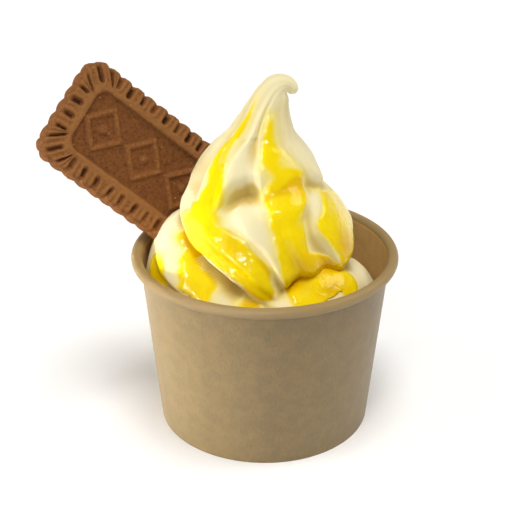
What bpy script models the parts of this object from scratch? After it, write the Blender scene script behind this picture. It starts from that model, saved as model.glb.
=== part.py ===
"""Lemon yogurt sundae: a swirl of soft frozen yogurt in a paper cup, with lemon sauce and a spiced biscuit.

Every size is in millimetres and every angle in degrees; MM turns a size to metres when a mesh is made.
The cup stands on z = 0 and its axis is the local Z axis. The whole is parented to one empty, which sets
the middle of the object's own box over the origin.
Angles round the swirl are counted from its front (-Y) and grow towards +X.
"""

import math

import bmesh
import bpy
import numpy as np
from mathutils import Matrix, Vector

MM = 0.001
MERGE = 1e-4

# Paper cup
CUP_HEIGHT = 62.2
RIM_RADIUS = 45.0
RIM_TUBE = 1.81
FOOT_RADIUS = 36.4
WALL_TOP_RADIUS = 42.0
PAPER = 0.5
FIT_GAP = 0.3
HEM_HEIGHT = 5.5
WALL_TOP = CUP_HEIGHT - 2.0 * RIM_TUBE
WALL_TAPER = (WALL_TOP_RADIUS - FOOT_RADIUS) / WALL_TOP
CUP_STEPS = 72
RIM_ARC = (180.0, -125.0)
RIM_PARTS = 14
WALL_RINGS = (20.0, 40.0)
BASE_RING = 0.5

# Place of the cup's axis in the object's frame
CUP_AXIS_X = 14.85

# Colours in linear red, green and blue, and roughness
BROWN_PAPER = (0.31, 0.22, 0.08)
BROWN_BOARD = (0.29, 0.20, 0.08)
YOGURT = (0.80, 0.72, 0.40)
BISCUIT = (0.30, 0.14, 0.04)
PAPER_ROUGHNESS = 0.5
BOARD_ROUGHNESS = 0.6
YOGURT_ROUGHNESS = 0.5
BISCUIT_ROUGHNESS = 0.85

# Edges that turn by more degrees than these are shaded as sharp
CUP_SMOOTH = 40.0
SWIRL_SMOOTH = 60.0
BISCUIT_SMOOTH = 50.0

# Biscuit: length, width over the scallops, thickness, and how it leans out of the cup
BISCUIT_LENGTH = 67.0
BISCUIT_WIDTH = 38.4
BISCUIT_THICK = 7.5
BISCUIT_CENTRE = (-42.4, 14.2, 88.0)
BISCUIT_RISE = 42.5
BISCUIT_HEADING = 194.0
BISCUIT_ROLL = 117.5
SCALLOP_PITCH = 5.2
SCALLOP_DEPTH = 0.8
CORNER_RADIUS = 6.5
EDGE_ROUND = 1.0
BORDER_END = 7.6
BORDER_SIDE = 7.4
FLUTE_DEPTH = 0.9
FRAME_WIDTH = 0.9
PANEL_DROP = 1.3
PANEL_CORNER = 4.5
POINTS_PER_SCALLOP = 4
SCALLOP_WAVE = (1.0, 0.35, 0.0, 0.35)
FLUTE_WAVE = (1.0, 0.45, 0.0, 0.45)
BORDER_DROP = 0.5
FRAME_FOOT_DROP = 0.3
CORNER_LEAN = 0.02

# Swirl: rings of its mesh
SWIRL_STEPS = 84
SWIRL_FOOT = HEM_HEIGHT + FIT_GAP + PAPER + FIT_GAP
HIDDEN_RINGS = [SWIRL_FOOT, 22.0, 36.0]
SHOWN_FROM = 44.0
SHOWN_STEP = 2.0
FOLD_FROM = 86.0
FOLD_TO = 96.0
FOLD_STEP = 1.25
NECK = 105.0
NECK_RADIUS = 10.4
TIP_RIDGES_END = 118.0
TOP_BLEND = (84.0, 90.0)
SHIFT_FADE = (46.0, 62.0)
TIP_END = 125.4
TIP_RINGS = 11
COIL_BLEND = 1.0
COIL_FALL = 3.0
SAUCE_THICK = 0.8
SAUCE_EDGE = 1.6

# How the turns draw in below their lower edges: slope of the middle turn's underside, roundness of each start
MIDDLE_UNDER = 1.15
TOP_TUCK_ROUND = 2.2
MIDDLE_TUCK_ROUND = 1.2
# Height below the neck over which the top turn's tuck dies away, and rounding left where two turns are far apart
TUCK_FADE = 8.0
LEAST_BLEND = 0.4
# How round a ridge is, and how far its valley lies towards the next one
RIDGE_ROUND = 1.15
VALLEY_LEAN = 1.7

# Top turn and middle turn: height, radius, sideways shift of the centre
TOP_TURN = [
    (112, 7.0, 0.3), (108, 8.8, -0.5), (105, 10.4, -1.0), (103.4, 11.4, -1.4), (99.3, 15.1, -2.0),
    (95.1, 18.5, -2.1), (90.9, 21.2, -2.1), (86.7, 23.1, -2.2), (80, 24.2, -1.9),
]
MIDDLE_TURN = [
    (112, -20, 0.5), (96, -6, -1.6), (89.2, 6.0, -2.0), (88.0, 11.0, -2.1), (87.0, 15.4, -2.2),
    (86.1, 18.6, -2.2), (84.6, 21.6, -2.2), (82, 24.4, -2.0), (78, 26.8, -1.3), (73.7, 28.3, -0.2),
    (69.3, 29.4, 0.9), (66, 30.2, 1.4), (62, 30.6, 1.8), (56, 31.6, 2.0), (50, 33, 1.6), (44, 34, 1.0),
]
# Tip, bent over to one side: height along it, x, z, lean, radius
TIP = [
    (105, -1.0, 105.0, 0, 10.4), (108, -0.4, 108.0, 1, 8.9), (111, 0.4, 111.1, 4, 7.5),
    (114, 1.5, 114.2, 12, 6.3), (116, 2.5, 116.3, 22, 5.5), (118, 3.9, 118.5, 42, 4.4),
    (120, 5.7, 119.6, 74, 3.3), (122, 7.6, 119.2, 116, 2.5), (124, 8.8, 117.6, 158, 1.9),
    (125.4, 9.0, 116.2, 172, 1.2),
]
# Lower edges of the top and middle turns: angle, height, and for the top turn the slope of its underside
# and how softly it meets the middle turn
TOP_EDGE = [
    (-150, 88, 0.9, 1.0), (-115, 84, 0.9, 1.2), (-90, 80, 0.7, 1.8), (-60, 79, 0.4, 2.4),
    (-46, 80, 0.4, 2.6), (-38, 84, 0.45, 2.6), (-33, 88.5, 0.6, 2.2), (-27, 92.4, 0.85, 1.4),
    (-18, 94, 0.95, 1.0), (-8, 94.5, 0.9, 1.2), (3, 95, 0.6, 2.2), (10, 96, 0.4, 3.0), (28, 97, 0.3, 4.0),
    (50, 97, 0.35, 3.6), (62, 94.5, 0.6, 2.2), (72, 90.5, 0.8, 1.4), (95, 86, 0.9, 1.0), (120, 86, 0.9, 1.0),
]
# How much higher the middle turn's shoulder lies than its table says: angle, height; and where that starts
MIDDLE_RISE = [(-60, 0), (-4, 0), (8, 1.6), (28, 2.4), (48, 2.2), (64, 0.8), (80, 0), (180, 0)]
RISE_FROM = (79.0, 86.0)
MIDDLE_EDGE = [
    (-150, 74), (-100, 76), (-85, 75), (-70, 71.5), (-60, 70), (-49, 68.4), (-40, 66.4),
    (-31, 64.4), (-22, 62), (-10, 58.6), (0, 56.2), (5, 58), (9, 62), (14, 65), (20, 65.8), (30, 65.8),
    (41, 65.2), (50, 64.4), (60, 64.6), (72, 66.5), (84, 68.5), (108, 69), (130, 69), (160, 71),
]
# Lowest turn, a thick coil: angle, height of its middle, half its height, half its width
COIL_CORE = 24.0
COIL = [
    (-140, 54, 16.5, 17.2), (-120, 55, 17, 17.3), (-100, 56.5, 18, 17.4), (-75, 55.5, 18, 17.3),
    (-60, 52, 17.2, 17.2), (-40, 47, 17, 17.1), (0, 42, 17, 17), (12, 43.4, 18.6, 17), (25, 44, 21, 17),
    (45, 43.5, 21, 16.8), (70, 40, 20, 16.2),
    (95, 38, 20.5, 15.4), (120, 34, 20, 15), (150, 36, 19, 15.7), (180, 46, 18, 16.4),
]
# Ridges left by the star nozzle: (height, angle) down each ridge, and the depth of the valley after it
TOP_RIDGES = [
    ([(118, -190), (112, -172), (100, -182), (88, -186)], 0.8),
    ([(118, -120), (112, -130), (100, -142), (88, -146)], 0.8),
    ([(118, -75), (112, -90), (104, -98), (96, -104), (88, -108)], 0.7),
    ([(118, -40), (112, -50), (104, -60), (96, -60), (88, -56)], 0.45),
    ([(118, -12), (112.6, -15), (107, -18.5), (103.7, -23), (100.7, -27), (97.2, -31), (94.4, -32),
      (86, -34)], 0.45),
    ([(118, 6), (112, 0), (108, -3), (104, -3), (100, 1), (95, 2), (86, 4)], 0.6),
    ([(119.6, 17), (116.7, 40), (111, 47), (104.4, 51), (100, 54), (96.4, 57), (94, 60), (89, 66),
      (84, 66)], 0.35),
    ([(118, 100), (112, 104), (100, 112), (88, 118)], 0.8),
]
MIDDLE_RIDGES = [
    ([(92, -182), (78, -186), (66, -184), (54, -180)], 0.7),
    ([(92, -150), (84, -146), (78, -140), (72, -126), (66, -112), (60, -98), (54, -80)], 0.8),
    ([(92, -96), (84, -92), (78, -84), (73, -60), (69.3, -44), (68, -38.5), (67, -34), (65.4, -26.5),
      (63.1, -18.5), (60, -8.5), (57.2, -0.5), (50, 20)], 0.12),
    ([(92, -52), (86, -48), (80, -43), (76, -38), (72, -28), (68, -15), (64.5, -8), (62, -3), (60, 1),
      (57, 7), (50, 22)], 0.45),
    ([(92, -27), (87.9, -22), (85.7, -18), (83.4, -15), (80.7, -10), (78.9, -7), (75.3, 1),
      (71.6, 4.5), (67.9, 6), (60, 12), (50, 24)], 0.3),
    ([(92, 26), (84, 23), (76, 21), (68, 23), (60, 30), (50, 38)], 0.7),
    ([(92, 72), (86.9, 63), (83.8, 53), (80.3, 46), (77.1, 44), (72.5, 46), (67.8, 48), (62.8, 50),
      (50, 60)], 0.3),
    ([(92, 120), (80, 110), (70, 106), (60, 108), (50, 112)], 0.7),
]
COIL_RIDGES = [
    ([(80, -180), (60, -176), (48, -170)], 0.8),
    ([(80, -136), (70, -124), (62, -110), (56, -98), (48, -82)], 0.9),
    ([(80, -80), (72.4, -71), (68.1, -74), (64.8, -72), (62, -66), (59.7, -57), (58, -46),
      (54, -26), (48, -4)], 1.0),
    ([(80, -20), (66, -18), (60, -8), (56, 8), (50, 26), (44, 36)], 0.8),
    ([(80, 40), (64, 52), (56, 66), (48, 80)], 0.6),
    ([(80, 110), (60, 118), (48, 126)], 0.6),
]
# Depth of the valleys between ridges: height, depth
TOP_DEPTH = [(120, 0.3), (114, 0.9), (110, 1.6), (104, 2.6), (98, 3.4), (92, 3.6), (80, 3.6)]
MIDDLE_DEPTH = [(96, 1.5), (90, 2.4), (84, 3.4), (76, 4.2), (68, 4.4), (60, 4.0), (50, 3.0), (40, 1)]
COIL_DEPTH = [(80, 0.8), (74, 1.2), (66, 2.0), (58, 2.2), (50, 1.6), (42, 0.4)]
# Dents and swellings: angle, height, half width, half height, depth
DENTS = [(95, 68, 9, 4, 0.5), (-12, 100.5, 3.0, 4.0, -1.3), (0, 90, 9, 4, -0.6)]
# Runs of sauce: height, angle of the left edge, angle of the right edge
SAUCE_RUNS = [
    [
        (114, -56, -46), (112, -52, -40), (108, -56, -39), (106.2, -58, -40), (104.4, -58, -42),
        (102.4, -62, -44), (100.8, -62, -46), (97.5, -60, -42), (95.9, -58, -39), (94, -56, -36),
        (92.5, -54, -33), (90.8, -52, -31), (89.3, -53, -30), (87.4, -54, -30.5), (85.3, -54, -32),
        (83.4, -63, -34), (81.8, -62, -29), (80, -70, -27), (78.7, -72, -20), (77, -74, -13),
        (76, -70, -10), (74, -66, -8), (72.3, -63, -5), (71, -60, -2), (69.9, -48, 1), (68.6, -37, 3),
        (67.2, -33, 3.5), (66.1, -27, 3), (64.6, -23, 2), (63, -18, 2), (61, -14, 3), (59.1, -8, 2),
        (57.6, -3, 1),
    ],
    [
        (112, -1, 22), (108, 0, 30), (105.5, 1, 32), (103.7, 2, 34), (101.8, 2, 34), (100.4, 3, 42),
        (99, 3, 46), (96.5, 3, 50), (94, 8, 56), (91.8, 6, 57), (89.5, 4, 56), (88, 4, 53),
        (86.8, 5, 49), (85.9, 7, 46), (85, 7, 43), (83.9, 6, 40), (82.4, 7, 38), (80.8, 7, 37),
        (78.8, 8, 36), (76.8, 7, 34), (75, 7, 32), (73.5, 6, 31), (72, 6, 31), (70.7, 7, 36),
        (69, 7, 44), (67, 7, 47), (64, 8, 56), (61, 9, 58), (59, 11, 52), (58.2, 12, 33),
        (57.6, 13, 29.5), (56.4, 15, 25),
    ],
    [
        (62, 40, 58), (58.5, 42, 58), (57, 43, 57), (55.4, 44, 55), (53, 45, 55),
    ],
    [
        (86, 67, 77), (83.8, 58, 86), (81.9, 51, 98), (80.7, 46, 106), (79, 43.5, 112), (76.4, 43, 116),
        (75.3, 43.5, 118), (73.7, 45, 118), (71.9, 46.5, 118), (70, 48, 116), (69, 49.5, 112), (68, 49.5, 104),
        (66.4, 49, 76), (64, 50, 55), (62, 50, 57),
    ],
    [
        (73, -73, -63), (70.7, -71, -47), (69.3, -67, -47), (68.1, -62, -46), (66.8, -60.5, -53), (65.4, -60, -50),
        (64, -57, -46), (63, -57, -41), (61.6, -54, -36), (60.3, -52, -33), (59.1, -51, -33),
        (57.9, -43, -32), (56, -38, -31), (52, -36, -30),
    ],
    [
        (65.6, -73, -69), (64.5, -77, -67), (62.5, -83, -63.5), (61, -85, -61.5), (59, -84, -60),
        (57, -80, -58.5), (55, -76, -58), (52, -74, -58),
    ],
    [
        (59, -12, -6), (57.6, -18, -4), (56, -20, -3), (53, -18, -4),
    ],
]


def clear_scene():
    for obj in list(bpy.data.objects):
        bpy.data.objects.remove(obj, do_unlink=True)


def material(name, colour, roughness):
    mat = bpy.data.materials.new(name)
    mat.use_nodes = True
    shader = mat.node_tree.nodes["Principled BSDF"]
    shader.inputs["Base Color"].default_value = (*colour, 1.0)
    shader.inputs["Roughness"].default_value = roughness
    return mat


def finish(bm, name, mat, parent, smooth_angle):
    """Turn a bmesh in millimetres into a named object in metres."""
    bmesh.ops.scale(bm, vec=(MM, MM, MM), verts=bm.verts)
    bmesh.ops.recalc_face_normals(bm, faces=bm.faces)
    mesh = bpy.data.meshes.new(name)
    bm.to_mesh(mesh)
    bm.free()
    mesh.materials.append(mat)
    mesh.shade_smooth()
    mesh.set_sharp_from_angle(angle=math.radians(smooth_angle))
    obj = bpy.data.objects.new(name, mesh)
    bpy.context.scene.collection.objects.link(obj)
    obj.parent = parent
    return obj


def turned(profile, steps, closed):
    """Spin a profile of (radius, height) points round the Z axis."""
    bm = bmesh.new()
    verts = [bm.verts.new((r, 0.0, z)) for r, z in profile]
    pairs = zip(verts, verts[1:] + verts[:1]) if closed else zip(verts, verts[1:])
    edges = [bm.edges.new(pair) for pair in pairs]
    bmesh.ops.spin(
        bm, geom=verts + edges, cent=(0, 0, 0), axis=(0, 0, 1), angle=math.tau, steps=steps, use_merge=True,
    )
    bmesh.ops.remove_doubles(bm, verts=bm.verts, dist=MERGE)
    return bm


def wall_radius(z):
    """Outer radius of the cup's wall at a height."""
    return FOOT_RADIUS + WALL_TAPER * z


def wall_inside(z):
    """Inner radius of the cup's wall at a height."""
    return wall_radius(z) - PAPER


def hem_outside(z):
    """Outer radius of the hem that is folded up inside the wall."""
    return wall_radius(z) - 2.0 * PAPER - 2.0 * FIT_GAP


def make_cup_wall(parent):
    """The side wall: one sheet of paper, rolled outwards at the rim and folded up inside at the foot."""
    tube_r = RIM_RADIUS - RIM_TUBE
    tube_z = CUP_HEIGHT - RIM_TUBE
    start, end = RIM_ARC
    rim = []
    for i in range(RIM_PARTS + 1):
        a = math.radians(start + (end - start) * i / RIM_PARTS)
        rim.append((tube_r + RIM_TUBE * math.cos(a), tube_z + RIM_TUBE * math.sin(a)))
    profile = [(wall_radius(0.0), 0.0), (hem_outside(0.0) - PAPER, 0.0)]
    profile += [(hem_outside(HEM_HEIGHT) - PAPER, HEM_HEIGHT), (hem_outside(HEM_HEIGHT), HEM_HEIGHT)]
    profile += [(hem_outside(PAPER), PAPER), (wall_inside(PAPER), PAPER)]
    profile += [(wall_inside(z), z) for z in WALL_RINGS]
    profile += rim
    profile += [(wall_radius(z), z) for z in WALL_RINGS[::-1]]
    bm = turned(profile, CUP_STEPS, closed=True)
    paper = material("brown_paper", BROWN_PAPER, PAPER_ROUGHNESS)
    return finish(bm, "cup_wall", paper, parent, CUP_SMOOTH)


def make_cup_base(parent):
    """The bottom: a disc with its edge turned down into the hem, clear of both leaves by the fit gap."""
    skirt_low = PAPER + FIT_GAP
    disc_low = HEM_HEIGHT + FIT_GAP
    disc_top = disc_low + PAPER
    skirt_low_r, disc_low_r, disc_top_r = (wall_inside(z) - FIT_GAP for z in (skirt_low, disc_low, disc_top))
    profile = [(0.0, disc_top), (disc_top_r * BASE_RING, disc_top), (disc_top_r, disc_top)]
    profile += [(skirt_low_r, skirt_low), (skirt_low_r - PAPER, skirt_low), (disc_low_r - PAPER, disc_low)]
    profile += [(disc_low_r * BASE_RING, disc_low), (0.0, disc_low)]
    bm = turned(profile, CUP_STEPS, closed=False)
    board = material("brown_board", BROWN_BOARD, BOARD_ROUGHNESS)
    return finish(bm, "cup_base", board, parent, CUP_SMOOTH)


def curve(stations, at, column=1):
    """Smooth curve through stations whose first value is the position and another the value."""
    table = np.array([[s[0], s[column]] for s in stations], float)
    table = table[np.argsort(table[:, 0])]
    x, y = table[:, 0], table[:, 1]
    step = np.diff(x)
    slope = np.diff(y) / step
    tangent = np.empty_like(x)
    tangent[0], tangent[-1] = slope[0], slope[-1]
    tangent[1:-1] = (slope[:-1] * step[1:] + slope[1:] * step[:-1]) / (step[:-1] + step[1:])
    at = np.clip(np.asarray(at, float), x[0], x[-1])
    i = np.clip(np.searchsorted(x, at, side="right") - 1, 0, len(step) - 1)
    t = (at - x[i]) / step[i]
    rise = t * t * (3.0 - 2.0 * t)
    return (
        (1.0 - rise) * y[i] + rise * y[i + 1]
        + (t**3 - 2.0 * t**2 + t) * step[i] * tangent[i]
        + (t**3 - t**2) * step[i] * tangent[i + 1]
    )


def ring(stations, angle, column=1):
    """The same, for stations by angle that go round the axis."""
    turns = [(s[0] + turn, *s[1:]) for turn in (-360, 0, 360) for s in stations]
    return curve(turns, angle, column)


def larger(a, b, blend):
    """The larger of two values, rounded where they cross."""
    return 0.5 * (a + b + np.sqrt((a - b) ** 2 + blend * blend))


def tucked(z, edge, slope, roundness):
    """How far a turn draws in below its lower edge."""
    return larger(0.0, slope * (edge - z), roundness)


def smooth(t):
    """0 to 1 with level ends."""
    t = np.clip(t, 0.0, 1.0)
    return t * t * (3.0 - 2.0 * t)


def valleys(ridges, angle, z):
    """0 on a ridge, up to the valley's own depth between two ridges."""
    lines = [(curve(line, z), depth) for line, depth in ridges]
    total = np.zeros(np.broadcast(angle, z).shape)
    for turn in (-360, 0, 360):
        for i, (start, depth) in enumerate(lines):
            wrap = 360 if i == len(lines) - 1 else 0
            stop = lines[(i + 1) % len(lines)][0] + wrap
            part = (angle - start - turn) / (stop - start)
            inside = (part >= 0.0) & (part < 1.0)
            shape = depth * np.sin(math.pi * np.clip(part, 0.0, 1.0) ** VALLEY_LEAN) ** RIDGE_ROUND
            total = np.where(inside, shape, total)
    return total


def contents_limit(angle, z, shift):
    """Distance from a centre set off sideways by shift to the cup's inside, less the fit gap."""
    inside = wall_radius(np.clip(z, 0.0, WALL_TOP)) - PAPER - FIT_GAP
    return np.sqrt(inside**2 - (shift * np.cos(angle)) ** 2) - shift * np.sin(angle)


def swirl_radius(angle, z):
    """Radius of the yogurt at an angle and a height, as three turns that press on each other."""
    top = curve(TOP_TURN, z) - curve(TOP_DEPTH, z) * valleys(TOP_RIDGES, angle, z)
    fold = smooth((NECK - z) / TUCK_FADE)
    top = top - fold * tucked(z, ring(TOP_EDGE, angle), ring(TOP_EDGE, angle, 2), TOP_TUCK_ROUND)
    lower = z - ring(MIDDLE_RISE, angle) * smooth((z - RISE_FROM[0]) / (RISE_FROM[1] - RISE_FROM[0]))
    middle = curve(MIDDLE_TURN, lower) - curve(MIDDLE_DEPTH, z) * valleys(MIDDLE_RIDGES, angle, z)
    middle = middle - tucked(z, ring(MIDDLE_EDGE, angle), MIDDLE_UNDER, MIDDLE_TUCK_ROUND)
    t = np.clip((z - ring(COIL, angle, 1)) / ring(COIL, angle, 2), 0.0, None)
    round_top = np.where(t < 1.0, np.sqrt(np.clip(1.0 - t * t, 0.0, 1.0)), COIL_FALL * (1.0 - t))
    coil = COIL_CORE + ring(COIL, angle, 3) * round_top
    coil = coil - curve(COIL_DEPTH, z) * valleys(COIL_RIDGES, angle, z)
    blend = LEAST_BLEND + fold * ring(TOP_EDGE, angle, 3)
    r = larger(larger(top, middle, blend), coil, COIL_BLEND)
    for at_angle, at_z, wide, high, depth in DENTS:
        across = np.radians((angle - at_angle + 180.0) % 360.0 - 180.0) * r
        r = r + depth * np.exp(-((across / wide) ** 2) - ((z - at_z) / high) ** 2)
    return r


def sauce_cover(angle, z):
    """1 under a run of sauce, falling to 0 over its rounded edge."""
    r = swirl_radius(angle, np.minimum(z, NECK))
    cover = np.zeros(np.broadcast(angle, z).shape)
    for run in SAUCE_RUNS:
        heights = [row[0] for row in run]
        side = np.minimum(angle - curve(run, z, 1), curve(run, z, 2) - angle)
        end = np.minimum(max(heights) - z, z - min(heights))
        t = np.clip(np.minimum(np.radians(side) * r, end) / SAUCE_EDGE, 0.0, 1.0)
        cover = np.maximum(cover, np.sqrt(1.0 - (1.0 - t) ** 2))
    return cover


def swirl_points(angle, s, lift):
    """Points of the swirl's surface: s is the height up to the neck and then runs along the bent tip."""
    a = np.radians(angle)
    z = np.minimum(s, NECK)
    upper = np.clip((z - TOP_BLEND[0]) / (TOP_BLEND[1] - TOP_BLEND[0]), 0.0, 1.0)
    shift = upper * curve(TOP_TURN, z, 2) + (1.0 - upper) * curve(MIDDLE_TURN, z, 2)
    shift = shift * np.clip((z - SHIFT_FADE[0]) / (SHIFT_FADE[1] - SHIFT_FADE[0]), 0.0, 1.0)
    r = np.minimum(swirl_radius(angle, z) + lift, contents_limit(a, z, shift))
    low = np.stack([shift + r * np.sin(a), -r * np.cos(a), z + 0.0 * r], -1)
    t = np.maximum(s, NECK)
    x, height, lean, r = (curve(TIP, t, column) for column in (1, 2, 3, 4))
    lean = np.radians(lean)
    ridge_height = np.minimum(t, TIP_RIDGES_END)
    valley = curve(TOP_DEPTH, ridge_height) * valleys(TOP_RIDGES, angle, ridge_height)
    r = r - valley * r / NECK_RADIUS + lift
    side = r * np.sin(a)
    high = np.stack([x + side * np.cos(lean), -r * np.cos(a), height - side * np.sin(lean)], -1)
    return np.where((s < NECK)[:, None], low, high)


def ring_heights():
    """Heights of the mesh rings: wide apart inside the cup, closest together round the upper fold."""
    heights = list(HIDDEN_RINGS)
    heights += list(np.arange(SHOWN_FROM, FOLD_FROM, SHOWN_STEP))
    heights += list(np.arange(FOLD_FROM, FOLD_TO, FOLD_STEP))
    heights += list(np.arange(FOLD_TO, NECK, SHOWN_STEP))
    return heights + list(np.linspace(NECK, TIP_END, TIP_RINGS + 1))


def make_yogurt(parent, pocket):
    """Soft frozen yogurt with its thick runs of sauce, down to the bottom of the cup."""
    heights = ring_heights()
    bm = bmesh.new()
    verts = [bm.verts.new((0.0, -1.0, h)) for h in heights]
    edges = [bm.edges.new(pair) for pair in zip(verts, verts[1:])]
    bmesh.ops.spin(
        bm, geom=verts + edges, cent=(0, 0, 0), axis=(0, 0, 1), angle=math.tau, steps=SWIRL_STEPS,
        use_merge=True,
    )
    bmesh.ops.remove_doubles(bm, verts=bm.verts, dist=MERGE)
    angle = np.array([math.degrees(math.atan2(v.co.x, -v.co.y)) for v in bm.verts])
    height = np.array([v.co.z for v in bm.verts])
    places = swirl_points(angle, height, SAUCE_THICK * sauce_cover(angle, height))
    for vert, place in zip(bm.verts, places):
        vert.co = place
    bmesh.ops.holes_fill(bm, edges=[e for e in bm.edges if e.is_boundary], sides=0)
    obj = finish(bm, "yogurt_swirl", material("frozen_yogurt", YOGURT, YOGURT_ROUGHNESS), parent, SWIRL_SMOOTH)
    cut = obj.modifiers.new("biscuit pocket", "BOOLEAN")
    cut.operation = "DIFFERENCE"
    cut.solver = "EXACT"
    cut.object = pocket
    return obj


def biscuit_outline(length, width, corner, wave):
    """Points round a rectangle with round corners, waved in and out by the scallops.

    Gives (x, y, outward x, outward y, place in the scallop) for each point.
    """
    straight_x = length - 2.0 * corner
    straight_y = width - 2.0 * corner
    arc = 0.5 * math.pi * corner
    around = 2.0 * (straight_x + straight_y) + 4.0 * arc
    count = POINTS_PER_SCALLOP * round(around / SCALLOP_PITCH)
    sides = [
        (straight_y, (length / 2, -straight_y / 2), (0, 1)),
        (straight_x, (straight_x / 2, width / 2), (-1, 0)),
        (straight_y, (-length / 2, straight_y / 2), (0, -1)),
        (straight_x, (-straight_x / 2, -width / 2), (1, 0)),
    ]
    points = []
    for k in range(count):
        along = around * k / count
        for (run, start, way) in sides:
            out = (way[1], -way[0])
            if along <= run:
                x, y = start[0] + way[0] * along, start[1] + way[1] * along
                break
            along -= run
            if along <= arc:
                turn = along / corner
                corner_x = start[0] + way[0] * run - out[0] * corner
                corner_y = start[1] + way[1] * run - out[1] * corner
                out = (
                    out[0] * math.cos(turn) + way[0] * math.sin(turn),
                    out[1] * math.cos(turn) + way[1] * math.sin(turn),
                )
                x, y = corner_x + out[0] * corner, corner_y + out[1] * corner
                break
            along -= arc
        place = k % POINTS_PER_SCALLOP
        dip = wave * SCALLOP_WAVE[place]
        points.append((x - out[0] * dip, y - out[1] * dip, out[0], out[1], place))
    return points


def biscuit_slab(rings):
    """Close a stack of point rings, lowest first, into one solid."""
    bm = bmesh.new()
    loops = []
    for points in rings:
        loops.append([bm.verts.new(p) for p in points])
    for low, high in zip(loops, loops[1:]):
        n = len(low)
        for i in range(n):
            j = (i + 1) % n
            bm.faces.new((low[i], low[j], high[j], high[i]))
    bm.faces.new(loops[0][::-1])
    bm.faces.new(loops[-1])
    return bm


def biscuit_matrix():
    """Place and lean of the biscuit: its X axis runs to its free end and its Z axis out of its face."""
    rise, heading, roll = (math.radians(v) for v in (BISCUIT_RISE, BISCUIT_HEADING, BISCUIT_ROLL))
    out = Vector((math.cos(rise) * math.cos(heading), math.cos(rise) * math.sin(heading), math.sin(rise)))
    level = Vector((0, 0, 1)).cross(out).normalized()
    across = math.cos(roll) * level + math.sin(roll) * out.cross(level)
    face = across.cross(out)
    turn = Matrix((out, -across, face)).transposed().to_4x4()
    return Matrix.Translation(Vector(BISCUIT_CENTRE) * MM) @ turn


def make_biscuit(parent):
    """Spiced biscuit: scalloped edge, fluted border, raised frame line and a sunken panel."""
    outline = biscuit_outline(BISCUIT_LENGTH, BISCUIT_WIDTH, CORNER_RADIUS, SCALLOP_DEPTH)
    half = BISCUIT_THICK / 2.0
    panel_x = BISCUIT_LENGTH / 2.0 - BORDER_END
    panel_y = BISCUIT_WIDTH / 2.0 - BORDER_SIDE

    def inset(distance, z, flute=0.0):
        points = []
        for x, y, out_x, out_y, place in outline:
            drop = flute * FLUTE_WAVE[place]
            points.append((x - out_x * distance, y - out_y * distance, z - drop))
        return points

    def framed(grow, z):
        """Points on the panel's outline, each opposite its own point of the edge."""
        points = []
        for x, y, out_x, out_y, _ in outline:
            px = max(-panel_x, min(panel_x, x))
            py = max(-panel_y, min(panel_y, y))
            cx = max(-panel_x + PANEL_CORNER, min(panel_x - PANEL_CORNER, px))
            cy = max(-panel_y + PANEL_CORNER, min(panel_y - PANEL_CORNER, py))
            if abs(out_x) > CORNER_LEAN and abs(out_y) > CORNER_LEAN:
                cx = math.copysign(panel_x - PANEL_CORNER, out_x)
                cy = math.copysign(panel_y - PANEL_CORNER, out_y)
                points.append((cx + out_x * (PANEL_CORNER + grow), cy + out_y * (PANEL_CORNER + grow), z))
            elif abs(out_x) > abs(out_y):
                points.append((math.copysign(panel_x + grow, out_x), cy, z))
            else:
                points.append((cx, math.copysign(panel_y + grow, out_y), z))
        return points

    rings = [
        inset(EDGE_ROUND, -half), inset(0.0, -half + EDGE_ROUND), inset(0.0, half - FLUTE_DEPTH - EDGE_ROUND),
        inset(EDGE_ROUND, half - BORDER_DROP, FLUTE_DEPTH), framed(2.0 * FRAME_WIDTH, half - FRAME_FOOT_DROP),
        framed(FRAME_WIDTH, half), framed(0.0, half - PANEL_DROP),
    ]
    bm = biscuit_slab(rings)
    bmesh.ops.triangulate(bm, faces=bm.faces)
    baked = material("baked_biscuit", BISCUIT, BISCUIT_ROUGHNESS)
    obj = finish(bm, "spiced_biscuit", baked, parent, BISCUIT_SMOOTH)
    obj.matrix_local = biscuit_matrix()
    return obj


def make_pocket(parent):
    """Guide that leaves room in the yogurt for the biscuit and the fit gap round it."""
    half = BISCUIT_THICK / 2.0 + FIT_GAP
    grow = 2.0 * FIT_GAP
    outline = biscuit_outline(BISCUIT_LENGTH + grow, BISCUIT_WIDTH + grow, CORNER_RADIUS, 0.0)[::2]
    bm = biscuit_slab([[(x, y, z) for x, y, *_ in outline] for z in (-half, half)])
    obj = finish(bm, "pocket_guide", material("guide", YOGURT, YOGURT_ROUGHNESS), parent, BISCUIT_SMOOTH)
    obj.matrix_local = biscuit_matrix()
    obj.hide_render = True
    obj.display_type = "WIRE"
    return obj


def main():
    clear_scene()
    frame = bpy.data.objects.new("sundae", None)
    bpy.context.scene.collection.objects.link(frame)
    frame.location = (CUP_AXIS_X * MM, 0.0, 0.0)
    make_cup_wall(frame)
    make_cup_base(frame)
    make_biscuit(frame)
    pocket = make_pocket(frame)
    make_yogurt(frame, pocket)


main()
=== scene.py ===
"""Looks of the lemon yogurt sundae, laid out as an add-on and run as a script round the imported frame.

Every size is in millimetres and every angle in degrees; MM turns a size to metres when a mesh is finished.
Shapes are worked out round the cup's axis, and a finished mesh is set off by the axis's place in the frame.
Angles round the swirl are counted from its front (-Y) and grow towards +X.
"""

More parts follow.
